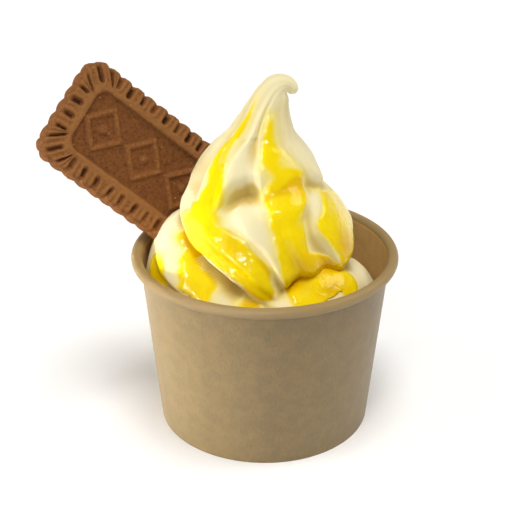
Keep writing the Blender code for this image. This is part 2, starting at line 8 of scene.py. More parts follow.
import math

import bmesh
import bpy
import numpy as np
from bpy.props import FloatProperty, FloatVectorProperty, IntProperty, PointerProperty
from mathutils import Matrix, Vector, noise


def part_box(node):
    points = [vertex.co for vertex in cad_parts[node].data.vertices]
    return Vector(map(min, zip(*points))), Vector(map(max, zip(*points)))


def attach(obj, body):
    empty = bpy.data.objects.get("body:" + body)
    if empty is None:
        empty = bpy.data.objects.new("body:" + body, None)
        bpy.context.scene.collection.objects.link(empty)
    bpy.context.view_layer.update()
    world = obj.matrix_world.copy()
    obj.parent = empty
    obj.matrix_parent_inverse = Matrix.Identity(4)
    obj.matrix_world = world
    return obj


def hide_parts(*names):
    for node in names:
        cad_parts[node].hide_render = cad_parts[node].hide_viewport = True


bl_info = {
    "name": "Lemon Yogurt Sundae",
    "version": (1, 0, 0),
    "blender": (4, 5, 0),
    "location": "3D View > Sidebar > Sundae",
    "description": "Builds the yogurt sundae: its paper cup, sauce and biscuit, and the stage it stands on",
    "category": "Object",
}

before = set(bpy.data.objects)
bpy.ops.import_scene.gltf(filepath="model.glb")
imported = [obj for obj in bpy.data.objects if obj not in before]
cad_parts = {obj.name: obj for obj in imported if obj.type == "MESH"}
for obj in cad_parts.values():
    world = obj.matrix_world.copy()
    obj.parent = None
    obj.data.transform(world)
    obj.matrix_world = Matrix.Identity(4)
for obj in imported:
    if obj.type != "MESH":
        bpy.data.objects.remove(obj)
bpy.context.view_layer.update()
MM = 0.001
# Distance at which doubled points are joined, and a number that only keeps a division from zero
MERGE = 1e-4
TINY = 1e-6
SEED = 7

# Cup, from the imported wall
wall_low, wall_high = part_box("cup_wall")
CUP_AXIS_X = 0.5 * (wall_low.x + wall_high.x) / MM
CUP_HEIGHT = wall_high.z / MM
RIM_RADIUS = 0.5 * (wall_high.x - wall_low.x) / MM
RIM_TUBE = 1.81
# Where the rolled rim starts and ends round its tube, counted from the outer side
RIM_ARC = (180.0, -125.0)
RIM_PARTS = 24
FOOT_RADIUS = 36.4
WALL_TOP_RADIUS = 42.0
PAPER = 0.5
FIT_GAP = 0.3
HEM_HEIGHT = 5.5
WALL_TOP = CUP_HEIGHT - 2.0 * RIM_TUBE
WALL_TAPER = (WALL_TOP_RADIUS - FOOT_RADIUS) / WALL_TOP
CUP_STEPS = 180
WALL_RINGS = 12
CUP_SMOOTH = 40.0
PAPER_ROUGHNESS = 0.42
BOARD_ROUGHNESS = 0.6
# How much paler the rolled rim is, in full and as a share, and between which heights over the wall's top
RIM_PALE = 1.25
RIM_PALE_SHARE = 0.8
RIM_PALE_HEIGHTS = (0.3, 2.0)
# Wall's inner side: how dark its clouds are, and how squarely a face looks in there
INSIDE_CLOUDS = 0.85
INSIDE_FACING = 0.5

# Lap of the wall's paper, at the back right: how high its foot is and how far it lies in the wall
LAP_ANGLE = 150.0
LAP_STEPS = 12
LAP_FOOT = 0.3
LAP_SUNK = 0.1
LAP_SMOOTH = 30.0

# Biscuit: length, width over the scallops, thickness, and how it leans out of the cup
BISCUIT_LENGTH = 67.0
BISCUIT_WIDTH = 38.4
BISCUIT_THICK = 7.5
BISCUIT_CENTRE = (-42.4, 14.2, 88.0)
BISCUIT_RISE = 42.5
BISCUIT_HEADING = 194.0
BISCUIT_ROLL = 117.5
SCALLOP_PITCH = 5.2
SCALLOP_DEPTH = 0.8
CORNER_RADIUS = 6.5
EDGE_ROUND = 1.4
BORDER_END = 7.6
BORDER_SIDE = 7.4
PANEL_CORNER = 4.5
STEPS_PER_SCALLOP = 16
# Distance round its outline, and scallops and points round it
OUTLINE_LENGTH = 2.0 * (BISCUIT_LENGTH + BISCUIT_WIDTH) - (8.0 - math.tau) * CORNER_RADIUS
SCALLOPS = round(OUTLINE_LENGTH / SCALLOP_PITCH)
BISCUIT_STEPS = STEPS_PER_SCALLOP * SCALLOPS
# Least share of an outward direction, across and along, that tells a corner from a straight side
CORNER_SHARE = 0.02
# How far its side bulges, how pointed the notches between scallops are, and the lumps of its crumb
EDGE_BULGE = 0.3
NOTCH_POINT = 0.7
CRUMB_LUMPS = [(3.0, 0.16), (1.1, 0.12), (0.6, 0.08)]
BISCUIT_SMOOTH = 60.0
# Rings of its mesh: shares of the way from the edge to the frame line at the back, levels up the side, rings
# over the border, closer together at its outer side, and shares of the way from the frame line to the middle
BACK_SHARES = (1.0, 0.6, 0.3, 0.16, 0.08, 0.03)
SIDE_LEVELS = 9
BORDER_RINGS = 27
BORDER_CROWD = 1.25
PANEL_SHARES = (0.012, 0.025, 0.04, 0.06)
PANEL_FROM = 0.09
PANEL_RINGS = 28

# Border: depth of its ribs under the full thickness; its slots, one at each scallop: half their width, how
# softly their sides fall, and how far from the frame line they end
RIB_DROP = 0.15
SLOT_HALF_WIDTH = 1.35
SLOT_SOFT = 1.25
SLOT_SHORT = 2.9
# How much each slot differs in width, length, depth, place and lean, and where it leans from
WIDTH_VARIES = 0.2
LENGTH_VARIES = 0.7
DEPTH_VARIES = 0.25
PLACE_VARIES = 0.25
LEAN_VARIES = 0.12
LEAN_FROM = 2.0
# A slot is shallower at the biscuit's edge: share of its depth there, and where and over how far it deepens
MOUTH_SHARE = 0.45
MOUTH_FROM = 0.3
MOUTH_WIDTH = 1.6
# Lip round each slot: height, distance from its side, half width
LIP_RISE = 0.18
LIP_AWAY = 0.25
LIP_HALF = 0.4
# Ribs fall away between two slots, but not beside the frame line
RIB_FALL = 0.25
RIB_SOFT = 1.5
RIB_STAYS = 1.6
# Cord that runs round the panel: height, distance from the frame line, half width
CORD_RISE = 0.15
CORD_AWAY = 0.75
CORD_HALF = 0.55
# Panel: depth under the border, and width of its sloping side
PANEL_DEEP = 1.0
PANEL_SLOPE = 0.9
# Lozenge rings: distance apart, half length, half width, distance from centre to side, half the ring's width
LOZENGE_PITCH = 17.4
LOZENGE_HALF_LENGTH = 7.0
LOZENGE_HALF_WIDTH = 7.6
LOZENGE_TO_SIDE = 5.1
LOZENGE_RING = 1.05
BOSS_RADIUS = 1.7
# Painted shade by height, dark at a slot's depth: height over which it goes from a slot's depth to full, its
# least on side and edge, and its most
DEPTH_SHADE_HEIGHT = 1.7
DEPTH_SHADE_SIDE = 0.6
DEPTH_SHADE_EDGE = 0.7
DEPTH_SHADE_MOST = 1.2

# Room for the biscuit in the yogurt: how far they overlap, and how its corners are rounded
ROOM_OVERLAP = 0.25
ROOM_CORNER = CORNER_RADIUS - 1.0
ROOM_SEGMENTS = 8
ROOM_SMOOTH = 30.0

# Sugar grains: least and greatest radius and stretch, and how squarely a face has to look out to bear one
GRAIN_RADIUS = (0.18, 0.34)
GRAIN_STRETCH = (0.7, 1.3)
GRAIN_FACING = 0.8
GRAIN_SMOOTH = 20.0

# Swirl: steps and rings of its mesh; it stands on the cup's board
SWIRL_STEPS = 512
SWIRL_FOOT = HEM_HEIGHT + FIT_GAP + PAPER + FIT_GAP
HIDDEN_RINGS = [SWIRL_FOOT, 22.0, 36.0]
SHOWN_FROM = 42.0
SHOWN_STEP = 0.5
TIP_STEP = 0.4
YOGURT_SMOOTH = 60.0
# Neck, where the bent tip starts, and where on the tip its ridges end, its end rounds off and it ends
NECK = 105.0
NECK_RADIUS = 10.4
TIP_RIDGES_END = 118.0
TIP_ROUND_FROM = 124.2
TIP_END = 125.4
# Heights over which the sideways shift goes over to the top turn's, and over which it comes in at all
TOP_BLEND = (84.0, 90.0)
SHIFT_FADE = (46.0, 62.0)
# Rounding where the lowest coil meets the turns, and how steeply it falls in above its own top
COIL_BLEND = 1.0
COIL_FALL = 3.0
# How far either side of a point its slopes are taken
PROBE_ANGLE = 0.4
PROBE_HEIGHT = 0.2

# How the turns draw in below their lower edges: slope of the middle turn's underside, roundness of each start
MIDDLE_UNDER = 1.15
TOP_TUCK_ROUND = 2.2
MIDDLE_TUCK_ROUND = 1.2
# Height below the neck over which the top turn's tuck dies away, and the least rounding between two turns
TUCK_FADE = 8.0
LEAST_BLEND = 0.4
# How round a ridge is, and how far its valley lies towards the next one
RIDGE_ROUND = 1.15
VALLEY_LEAN = 1.7

# Top turn and middle turn: height, radius, sideways shift of the centre
TOP_TURN = [
    (112, 7.0, 0.3), (108, 8.8, -0.5), (105, 10.4, -1.0), (103.4, 11.4, -1.4), (99.3, 15.1, -2.0),
    (95.1, 18.5, -2.1), (90.9, 21.2, -2.1), (86.7, 23.1, -2.2), (80, 24.2, -1.9),
]
MIDDLE_TURN = [
    (112, -20, 0.5), (96, -6, -1.6), (89.2, 6.0, -2.0), (88.0, 11.0, -2.1), (87.0, 15.4, -2.2),
    (86.1, 18.6, -2.2), (84.6, 21.6, -2.2), (82, 24.4, -2.0), (78, 26.8, -1.3), (73.7, 28.3, -0.2),
    (69.3, 29.4, 0.9), (66, 30.2, 1.4), (62, 30.6, 1.8), (56, 31.6, 2.0), (50, 33, 1.6), (44, 34, 1.0),
]
# Tip, bent over to one side: height and then distance along it, x, z, lean, radius
TIP = [
    (105, -1.0, 105.0, 0, 10.4), (108, -0.4, 108.0, 1, 8.9), (111, 0.4, 111.1, 4, 7.5),
    (114, 1.5, 114.2, 12, 6.3), (116, 2.5, 116.3, 22, 5.5), (118, 3.9, 118.5, 42, 4.4),
    (120, 5.7, 119.6, 74, 3.3), (122, 7.6, 119.2, 116, 2.5), (124, 8.8, 117.6, 158, 1.9),
    (125.4, 9.0, 116.2, 172, 1.2),
]
# Lower edge of the top turn: angle, height, slope of its underside, how softly it meets the middle turn
TOP_EDGE = [
    (-150, 88, 0.9, 1.0), (-115, 84, 0.9, 1.2), (-90, 80, 0.7, 1.8), (-60, 79, 0.4, 2.4),
    (-46, 80, 0.4, 2.6), (-38, 84, 0.45, 2.6), (-33, 88.5, 0.6, 2.2), (-27, 92.4, 0.85, 1.4),
    (-18, 94, 0.95, 1.0), (-8, 94.5, 0.9, 1.2), (3, 95, 0.6, 2.2), (10, 96, 0.4, 3.0), (28, 97, 0.3, 4.0),
    (50, 97, 0.35, 3.6), (62, 94.5, 0.6, 2.2), (72, 90.5, 0.8, 1.4), (95, 86, 0.9, 1.0), (120, 86, 0.9, 1.0),
]
# How much higher the middle turn's shoulder lies than its table says: angle, height
MIDDLE_RISE = [(-60, 0), (-4, 0), (8, 1.6), (28, 2.4), (48, 2.2), (64, 0.8), (80, 0), (180, 0)]
# Heights between which that rise comes in
RISE_FROM = (79.0, 86.0)
# Lower edge of the middle turn: angle, height
MIDDLE_EDGE = [
    (-150, 74), (-100, 76), (-85, 75), (-70, 71.5), (-60, 70), (-49, 68.4), (-40, 66.4),
    (-31, 64.4), (-22, 62), (-10, 58.6), (0, 56.2), (5, 58), (9, 62), (14, 65), (20, 65.8), (30, 65.8),
    (41, 65.2), (50, 64.4), (60, 64.6), (72, 66.5), (84, 68.5), (108, 69), (130, 69), (160, 71),
]
# Lowest turn, a thick coil round a core: angle, height of its middle, half its height, half its width
COIL_CORE = 24.0
COIL = [
    (-140, 54, 16.5, 17.2), (-120, 55, 17, 17.3), (-100, 56.5, 18, 17.4), (-75, 55.5, 18, 17.3),
    (-60, 52, 17.2, 17.2), (-40, 47, 17, 17.1), (0, 42, 17, 17), (12, 43.4, 18.6, 17), (25, 44, 21, 17),
    (45, 43.5, 21, 16.8), (70, 40, 20, 16.2), (95, 38, 20.5, 15.4), (120, 34, 20, 15), (150, 36, 19, 15.7),
    (180, 46, 18, 16.4),
]
# Ridges left by the star nozzle: (height, angle) down each ridge, and the depth of the valley after it
TOP_RIDGES = [
    ([(118, -190), (112, -172), (100, -182), (88, -186)], 0.8),
    ([(118, -120), (112, -130), (100, -142), (88, -146)], 0.8),
    ([(118, -75), (112, -90), (104, -98), (96, -104), (88, -108)], 0.7),
    ([(118, -40), (112, -50), (104, -60), (96, -60), (88, -56)], 0.45),
    ([(118, -12), (112.6, -15), (107, -18.5), (103.7, -23), (100.7, -27), (97.2, -31), (94.4, -32),
      (86, -34)], 0.45),
    ([(118, 6), (112, 0), (108, -3), (104, -3), (100, 1), (95, 2), (86, 4)], 0.6),
    ([(119.6, 17), (116.7, 40), (111, 47), (104.4, 51), (100, 54), (96.4, 57), (94, 60), (89, 66),
      (84, 66)], 0.35),
    ([(118, 100), (112, 104), (100, 112), (88, 118)], 0.8),
]
MIDDLE_RIDGES = [
    ([(92, -182), (78, -186), (66, -184), (54, -180)], 0.7),
    ([(92, -150), (84, -146), (78, -140), (72, -126), (66, -112), (60, -98), (54, -80)], 0.8),
    ([(92, -96), (84, -92), (78, -84), (73, -60), (69.3, -44), (68, -38.5), (67, -34), (65.4, -26.5),
      (63.1, -18.5), (60, -8.5), (57.2, -0.5), (50, 20)], 0.12),
    ([(92, -52), (86, -48), (80, -43), (76, -38), (72, -28), (68, -15), (64.5, -8), (62, -3), (60, 1),
      (57, 7), (50, 22)], 0.45),
    ([(92, -27), (87.9, -22), (85.7, -18), (83.4, -15), (80.7, -10), (78.9, -7), (75.3, 1),
      (71.6, 4.5), (67.9, 6), (60, 12), (50, 24)], 0.3),
    ([(92, 26), (84, 23), (76, 21), (68, 23), (60, 30), (50, 38)], 0.7),
    ([(92, 72), (86.9, 63), (83.8, 53), (80.3, 46), (77.1, 44), (72.5, 46), (67.8, 48), (62.8, 50),
      (50, 60)], 0.3),
    ([(92, 120), (80, 110), (70, 106), (60, 108), (50, 112)], 0.7),
]
COIL_RIDGES = [
    ([(80, -180), (60, -176), (48, -170)], 0.8),
    ([(80, -136), (70, -124), (62, -110), (56, -98), (48, -82)], 0.9),
    ([(80, -80), (72.4, -71), (68.1, -74), (64.8, -72), (62, -66), (59.7, -57), (58, -46),
      (54, -26), (48, -4)], 1.0),
    ([(80, -20), (66, -18), (60, -8), (56, 8), (50, 26), (44, 36)], 0.8),
    ([(80, 40), (64, 52), (56, 66), (48, 80)], 0.6),
    ([(80, 110), (60, 118), (48, 126)], 0.6),
]
# Depth of the valleys between ridges: height, depth
TOP_DEPTH = [(120, 0.3), (114, 0.9), (110, 1.6), (104, 2.6), (98, 3.4), (92, 3.6), (80, 3.6)]
MIDDLE_DEPTH = [(96, 1.5), (90, 2.4), (84, 3.4), (76, 4.2), (68, 4.4), (60, 4.0), (50, 3.0), (40, 1)]
COIL_DEPTH = [(80, 0.8), (74, 1.2), (66, 2.0), (58, 2.2), (50, 1.6), (42, 0.4)]
# Dents and swellings: angle, height, half width, half height, depth
DENTS = [(95, 68, 9, 4, 0.5), (-12, 100.5, 3.0, 4.0, -1.3), (0, 90, 9, 4, -0.6)]
# Soft lumps of the swirl's surface and waves in the sauce's edge: size, height
LUMPS = [(4.0, 0.14), (1.3, 0.05)]
EDGE_WOBBLE = [(5.0, 0.4), (1.8, 0.12)]
# Least softness of a run's edge
SHARPEST = 0.3
# Share of the sauce's thickness that stands up steeply at its edge, and how much steeper than the rest
EDGE_STEP = 0.15
EDGE_STEEP = 4.0
# How deep the sauce's edge dips as it runs out, for each millimetre, and how far out its mesh goes
EDGE_DIP = 0.25
EDGE_MARGIN = 0.6
SAUCE_SMOOTH = 70.0
# Distance from the sauce's edge that stands for nowhere near it
FAR_OUTSIDE = -99.0
# Spots of painted shade, a deeper yellow, where the yogurt's flanks lie in shade: angle, height, half width,
# half height, share
PAINTED_SHADE_SPOTS = [(-84, 92.0, 7.0, 5.0, 0.5), (60, 112.0, 3.0, 9.0, 0.4), (75, 84.0, 5.0, 3.0, 0.3)]
# Painted amber shade where the sauce has gathered thick and lies in shade: angle, height, half width, half
# height, share
POOLS_AND_SHADE = [
    (38, 89.6, 7.0, 1.8, 0.5), (24, 68.5, 6.0, 6.0, 0.5), (40, 66.0, 7.0, 3.0, 0.85),
    (61, 70.0, 5.0, 5.0, 0.7), (-20, 75.5, 3.5, 5.0, 0.35), (36, 60.5, 6.0, 2.0, 0.55),
    (20, 62.5, 5.0, 2.0, 0.45), (-63, 69.5, 3.5, 4.0, 0.55),
]
# Sauce also gets painted amber shade in hollows deeper than this share, up to this much
POOL_SHADE_FROM = 0.4
POOL_SHADE_MOST = 0.6
# Runs of sauce: height, angles of the left and the right edge, and how far in from each edge it is thin
SAUCE_RUNS = [
    [
        (114, -56, -46, 1.0, 0.6), (112, -52, -40, 0.8, 0.6), (108, -56, -39, 1.1, 0.7),
        (106.2, -58, -40, 0.9, 0.4), (104.4, -58, -42, 0.8, 0.5), (102.4, -62, -44, 0.8, 1.1),
        (100.8, -62, -46, 1.2, 0.5), (97.5, -60, -42, 1.3, 0.6), (95.9, -58, -39, 1.6, 0.8),
        (94, -56, -36, 0.6, 1.2), (92.5, -54, -33, 0.7, 1.2), (90.8, -52, -31, 0.5, 1.2),
        (89.3, -53, -30, 0.7, 1.1), (87.4, -54, -30.5, 0.5, 0.9), (85.3, -54, -32, 0.5, 0.8),
        (83.4, -63, -34, 3.2, 0.8), (81.8, -62, -29, 3.0, 1.7), (80, -70, -27, 6.0, 2.5),
        (78.7, -72, -20, 6.0, 2.3), (77, -74, -13, 6.0, 3.5), (76, -70, -10, 5.0, 3.5),
        (74, -66, -8, 4.0, 1.5), (72.3, -63, -5, 2.0, 1.0), (71, -60, -2, 1.5, 1.0),
        (69.9, -48, 1, 1.0, 1.5), (68.6, -37, 3, 0.8, 1.5), (67.2, -33, 3.5, 0.8, 1.5),
        (66.1, -27, 3, 1.5, 1.8), (64.6, -23, 2, 1.5, 1.5), (63, -18, 2, 0.6, 1.2),
        (61, -14, 3, 0.7, 0.6), (59.1, -8, 2, 0.7, 0.4), (57.6, -3, 1, 0.5, 0.5),
    ],
    [
        (112, -1, 22, 3.0, 3.0), (108, 0, 30, 2.0, 3.0), (105.5, 1, 32, 0.7, 3.4),
        (103.7, 2, 34, 0.6, 3.0), (101.8, 2, 34, 0.7, 1.5), (100.4, 3, 42, 0.6, 3.6),
        (99, 3, 46, 0.8, 6.0), (96.5, 3, 50, 3.5, 8.0), (94, 8, 56, 3.5, 1.2),
        (91.8, 6, 57, 1.8, 1.4), (89.5, 4, 56, 2.0, 1.6), (88, 4, 53, 1.5, 1.8),
        (86.8, 5, 49, 0.8, 1.9), (85.9, 7, 46, 0.8, 2.4), (85, 7, 43, 1.3, 2.4),
        (83.9, 6, 40, 2.0, 2.4), (82.4, 7, 38, 1.5, 2.6), (80.8, 7, 37, 1.3, 2.6),
        (78.8, 8, 36, 1.4, 2.4), (76.8, 7, 34, 1.8, 1.5), (75, 7, 32, 1.8, 1.0),
        (73.5, 6, 31, 2.0, 1.0), (72, 6, 31, 1.0, 1.0), (70.7, 7, 36, 0.8, 1.5),
        (69, 7, 44, 0.8, 1.0), (67, 7, 47, 0.8, 0.8), (64, 8, 56, 0.8, 0.6), (61, 9, 58, 0.8, 0.6),
        (59, 11, 52, 0.8, 0.8), (58.2, 12, 33, 0.8, 0.8), (57.6, 13, 29.5, 0.8, 0.6),
        (56.4, 15, 25, 0.6, 0.6),
    ],
    [
        (62, 40, 58, 0.6, 0.5), (58.5, 42, 58, 0.8, 0.4), (57, 43, 57, 0.6, 0.4),
        (55.4, 44, 55, 0.5, 0.4), (53, 45, 55, 0.4, 0.4),
    ],
    [
        (86, 67, 77, 0.5, 1.0), (83.8, 58, 86, 0.7, 2.5), (81.9, 51, 98, 0.5, 2.5),
        (80.7, 46, 106, 0.5, 2.5), (79, 43.5, 112, 0.5, 2.5), (76.4, 43, 116, 0.8, 2.0),
        (75.3, 43.5, 118, 0.8, 2.0), (73.7, 45, 118, 0.8, 1.5), (71.9, 46.5, 118, 0.8, 1.5),
        (70, 48, 116, 0.6, 1.5), (69, 49.5, 112, 0.5, 1.0), (68, 49.5, 104, 0.5, 1.0),
        (66.4, 49, 76, 0.5, 0.5), (64, 50, 55, 0.5, 0.5), (62, 50, 57, 0.5, 0.5),
    ],
    [
        (73, -73, -63, 0.8, 0.8), (70.7, -71, -47, 0.8, 0.8), (69.3, -67, -47, 0.8, 0.5),
        (68.1, -62, -46, 0.8, 0.5), (66.8, -60.5, -53, 0.8, 0.5), (65.4, -60, -50, 0.8, 0.5),
        (64, -57, -46, 0.8, 0.5), (63, -57, -41, 0.8, 0.5), (61.6, -54, -36, 0.8, 0.5),
        (60.3, -52, -33, 0.8, 0.5), (59.1, -51, -33, 0.8, 0.5), (57.9, -43, -32, 0.8, 0.5),
        (56, -38, -31, 0.8, 0.5), (52, -36, -30, 0.8, 0.5),
    ],
    [
        (65.6, -73, -69, 1.0, 0.4), (64.5, -77, -67, 2.0, 0.4), (62.5, -83, -63.5, 2.0, 0.4),
        (61, -85, -61.5, 2.0, 0.4), (59, -84, -60, 2.0, 0.4), (57, -80, -58.5, 2.0, 0.4),
        (55, -76, -58, 2.0, 0.4), (52, -74, -58, 2.0, 0.4),
    ],
    [
        (59, -12, -6, 3.0, 2.0), (57.6, -18, -4, 3.0, 2.0), (56, -20, -3, 3.0, 2.0), (53, -18, -4, 3.0, 2.0),
    ],
]

# Where a point looks round itself, in degrees and millimetres, to tell whether it lies in a dip, for the
# painted shade
HOLLOW_RING = [
    (8.0, 0.0), (-8.0, 0.0), (0.0, 4.0), (0.0, -4.0), (6.0, 3.0), (-6.0, 3.0), (6.0, -3.0), (-6.0, -3.0),
]
# Depth of valley, and of dip below its surroundings, that makes full painted shade, and how much of a dip
# counts
DEEP_VALLEY = 9.0
DEEP_DIP = 2.0
DIP_RANGE = (-1.0, 2.0)

# Colours of the lights
WHITE = (1.0, 1.0, 1.0)
LEFT_TINT = (1.0, 0.99, 0.97)
RIGHT_TINT = (1.0, 0.94, 0.84)
# Places of the panels of light, in metres
SIDE_PLACE = (-0.45, -0.12, 0.16)
LOW_PLACE = (-0.45, -0.06, 0.03)
# Lights that only show as glints on the sauce: name, azimuth, elevation; and how wide each one is
GLINT_LIGHTS = [
    ("left_glint_light", -60.0, 55.0), ("front_glint_light", 0.0, 38.0), ("low_glint_light", -35.0, 5.0),
]
GLINT_WIDTH = 6.0
# Half width of the floor, in metres
FLOOR_HALF = 3.0
# Place of the camera and of what it looks at, in millimetres from the cup's axis
CAMERA_PLACE = (0.0, -363.2, 236.7)
CAMERA_TARGET = (-2.95, 0.0, 58.9)


def linear(code):
    """Linear red, green and blue of an sRGB hex colour."""
    values = [int(code[i:i + 2], 16) / 255.0 for i in (1, 3, 5)]
    return [v / 12.92 if v <= 0.04045 else ((v + 0.055) / 1.055) ** 2.4 for v in values]


def colour(name, description, code):
    """A colour that the user can change."""
    return FloatVectorProperty(
        name=name, description=description, default=linear(code), size=3, min=0.0, max=1.0, subtype="COLOR",
    )


def length(name, description, millimetres):
    """A length that the user can change."""
    return FloatProperty(
        name=name, description=description, default=millimetres * MM, min=0.0, precision=5, unit="LENGTH",
    )


def brightness(name, description, value):
    """Strength or power of a light that the user can change."""
    return FloatProperty(name=name, description=description, default=value, min=0.0)


class SundaeCup(bpy.types.PropertyGroup):
    """Paper of the cup."""

    paper: colour("Paper", "Unbleached paperboard of the wall", "#90784E")
    # Painted light: the inner side is a lighter, yellower paper, standing in for the light and the yellow
    # bounce that reach inside the cup
    inside: colour("Inside", "Uncoated inner side of the wall", "#CBA56C")
    paper_dark: colour("Darker fibre", "Cloudy darker fibre in the board", "#84704A")
    board: colour("Base board", "Board of the cup's bottom", "#8B774E")
    lap_width: length("Lap width", "How far the wall's sheet overlaps itself", 9.0)
    lap_thickness: length("Lap thickness", "How far the lap's edge stands out", 0.35)


class SundaeYogurt(bpy.types.PropertyGroup):
    """Frozen yogurt."""

    cream: colour("Cream", "Frozen yogurt on its ridges", "#E8DDB2")
    # Painted shade: a darker, yellower yogurt for deep between the ridges and under the folds
    hollow_shade: colour("Hollow", "Frozen yogurt deep between its ridges", "#CDB264")
    stain: colour("Stain", "Yogurt that sauce has soaked into", "#EDDC80")
    stain_reach: length("Stain reach", "How far the sauce soaks in beyond its edge", 1.2)


class SundaeSauce(bpy.types.PropertyGroup):
    """Lemon sauce."""

    sauce: colour("Sauce", "Lemon sauce where it lies thick", "#F3D600")
    thin: colour("Thin sauce", "Lemon sauce at its edges", "#F0E08A")
    # Painted shade: amber sauce where it pools thick in hollows and under folds
    pooled_and_shaded: colour("Pooled sauce", "Lemon sauce where it has pooled in a hollow", "#D39B00")
    thickness: length("Thickness", "How far the sauce stands on the yogurt", 0.5)
    sunk: length("Sunk", "How far the sauce's underside lies in the yogurt", 0.8)
    edge: length("Edge", "Width over which the sauce thins out", 2.4)


class SundaeBiscuit(bpy.types.PropertyGroup):
    """Spiced biscuit."""

    crumb: colour("Crumb", "Baked face of the biscuit", "#7C4C25")
    golden: colour("Golden", "Ribs that brown to gold", "#926236")
    # Painted shade: a dark colour deep in the pressed slots and in the crumb's pores
    pit_shade: colour("Pit", "Depth of the pressed slots", "#4C2E16")
    sugar: colour("Sugar", "Grains of melted sugar", "#B98A50")
    grains: IntProperty(name="Sugar grains", description="How many sugar grains show on the face", default=26)
    slot_depth: length("Slot depth", "Depth of the slots in the border", 1.3)
    ornament_rise: length("Ornament rise", "How far the pressed lozenges stand out", 0.7)


class SundaeStage(bpy.types.PropertyGroup):
    """Floor, light and camera."""

    floor: colour("Floor", "Plain pale floor", "#FDFDFD")
    lens: FloatProperty(
        name="Lens", description="Focal length of the camera", default=83.96 * MM, unit="CAMERA",
    )
    side: brightness("Side light", "Power of the soft panel at the left", 0.85)
    low: brightness("Low light", "Power of the narrow panel beside the cup", 0.06)
    top: brightness("Top light", "Strength of the soft light from above", 2.05)
    fill: brightness("Fill light", "Strength of the warm light from the right", 0.75)
    front: brightness("Front light", "Strength of the weak light from the front", 0.5)
    glint: brightness("Glint lights", "Strength of the lights that only show as glints", 0.75)
    sky: brightness("Surroundings", "Strength of the white surroundings", 0.18)


def add(tree, kind, inputs=None, **settings):
    """Add a shader node with its settings; inputs holds values and sockets to link, by name or number."""
    made = tree.nodes.new(kind)
    for name, value in settings.items():
        setattr(made, name, value)
    for name, value in (inputs or {}).items():
        if isinstance(value, bpy.types.NodeSocket):
            tree.links.new(value, made.inputs[name])
        else:
            made.inputs[name].default_value = value
    return made


def object_places(tree):
    """Places in the piece's own frame."""
    return add(tree, "ShaderNodeTexCoord").outputs["Object"]


def kept(tree, name):
    """Value that a piece keeps on its vertices under a name."""
    return add(tree, "ShaderNodeAttribute", attribute_name=name).outputs["Fac"]


def worked_out(tree, operation, *values):
    """Result of a sum on sockets and numbers."""
    return add(tree, "ShaderNodeMath", dict(enumerate(values)), operation=operation).outputs[0]


def new_material(name, **values):
    """A material with uniform values on its shader's own sockets; gives it, its nodes and its shader."""
    made = bpy.data.materials.new(name)
    made.use_nodes = True
    shader = made.node_tree.nodes["Principled BSDF"]
    for socket, value in values.items():
        shader.inputs[socket.replace("_", " ")].default_value = value
    return made, made.node_tree, shader


def solid(rgb, share=1.0):
    """A colour as a socket takes it, with its alpha; a share under 1 makes it darker, one over 1 paler."""
    return (*[share * v for v in rgb], 1.0)


def per_mm(size):
    """Scale of a pattern whose features are this many millimetres across."""
    return 1.0 / (size * MM)


FACTOR, COLOUR_A, COLOUR_B, COLOUR_OUT = 0, 6, 7, 2


def blend(tree, share, first, second):
    """Colour between two colours, by a share from 0 to 1."""
    mixed = add(
        tree, "ShaderNodeMix", {FACTOR: share, COLOUR_A: first, COLOUR_B: second}, data_type="RGBA",
    )
    return mixed.outputs[COLOUR_OUT]


def grain(tree, places, size, detail=2.0, stretch=(1.0, 1.0, 1.0)):
    """Smooth noise with features of a size in millimetres, stretched along the axes."""
    mapped = add(tree, "ShaderNodeMapping", {"Vector": places, "Scale": [1.0 / s for s in stretch]})
    inputs = {"Vector": mapped.outputs["Vector"], "Scale": per_mm(size), "Detail": detail}
    return add(tree, "ShaderNodeTexNoise", inputs).outputs["Fac"]


def fit_range(tree, value, low, high, to_low=0.0, to_high=1.0):
    """A value between two limits turned to one between two others, with level ends."""
    return add(
        tree, "ShaderNodeMapRange",
        {"Value": value, "From Min": low, "From Max": high, "To Min": to_low, "To Max": to_high},
        interpolation_type="SMOOTHSTEP",
    ).outputs["Result"]


def relief(tree, shader, height, distance, strength=1.0):
    """Bump the shader by a height pattern; distance is the real height in millimetres."""
    bump = add(tree, "ShaderNodeBump", {"Height": height, "Distance": distance * MM, "Strength": strength})
    tree.links.new(bump.outputs["Normal"], shader.inputs["Normal"])


def kraft_board(name, paper, dark, roughness):
    """Unbleached kraft paperboard, calendered: matt brown with a faint cloudy and fibrous grain.

    The eye sees soft clouds of fibre 4 mm across, short darker fibres half a millimetre wide, drawn coarser
    than real ones, a dull sheen at a low angle, and the rolled rim a little paler.
    """
    made, tree, shader = new_material(name, Roughness=roughness)
    places = object_places(tree)
    cloud = grain(tree, places, size=4.0, detail=4.0)
    ground = blend(tree, fit_range(tree, cloud, 0.3, 0.7), solid(paper), solid(dark))
    fibre = grain(tree, places, size=0.5, detail=3.0, stretch=(1.0, 1.0, 3.0))
    fibres = fit_range(tree, fibre, 0.45, 0.75)
    speck = worked_out(tree, "MULTIPLY", fibres, 0.35)
    fibrous = blend(tree, speck, ground, solid(dark, 0.7))
    height = add(tree, "ShaderNodeSeparateXYZ", {"Vector": places}).outputs["Z"]
    low, high = ((WALL_TOP + over) * MM for over in RIM_PALE_HEIGHTS)
    rolled = fit_range(tree, height, low, high, 0.0, RIM_PALE_SHARE)
    tree.links.new(blend(tree, rolled, fibrous, solid(paper, RIM_PALE)), shader.inputs["Base Color"])
    relief(tree, shader, fibres, distance=0.03)
    return made


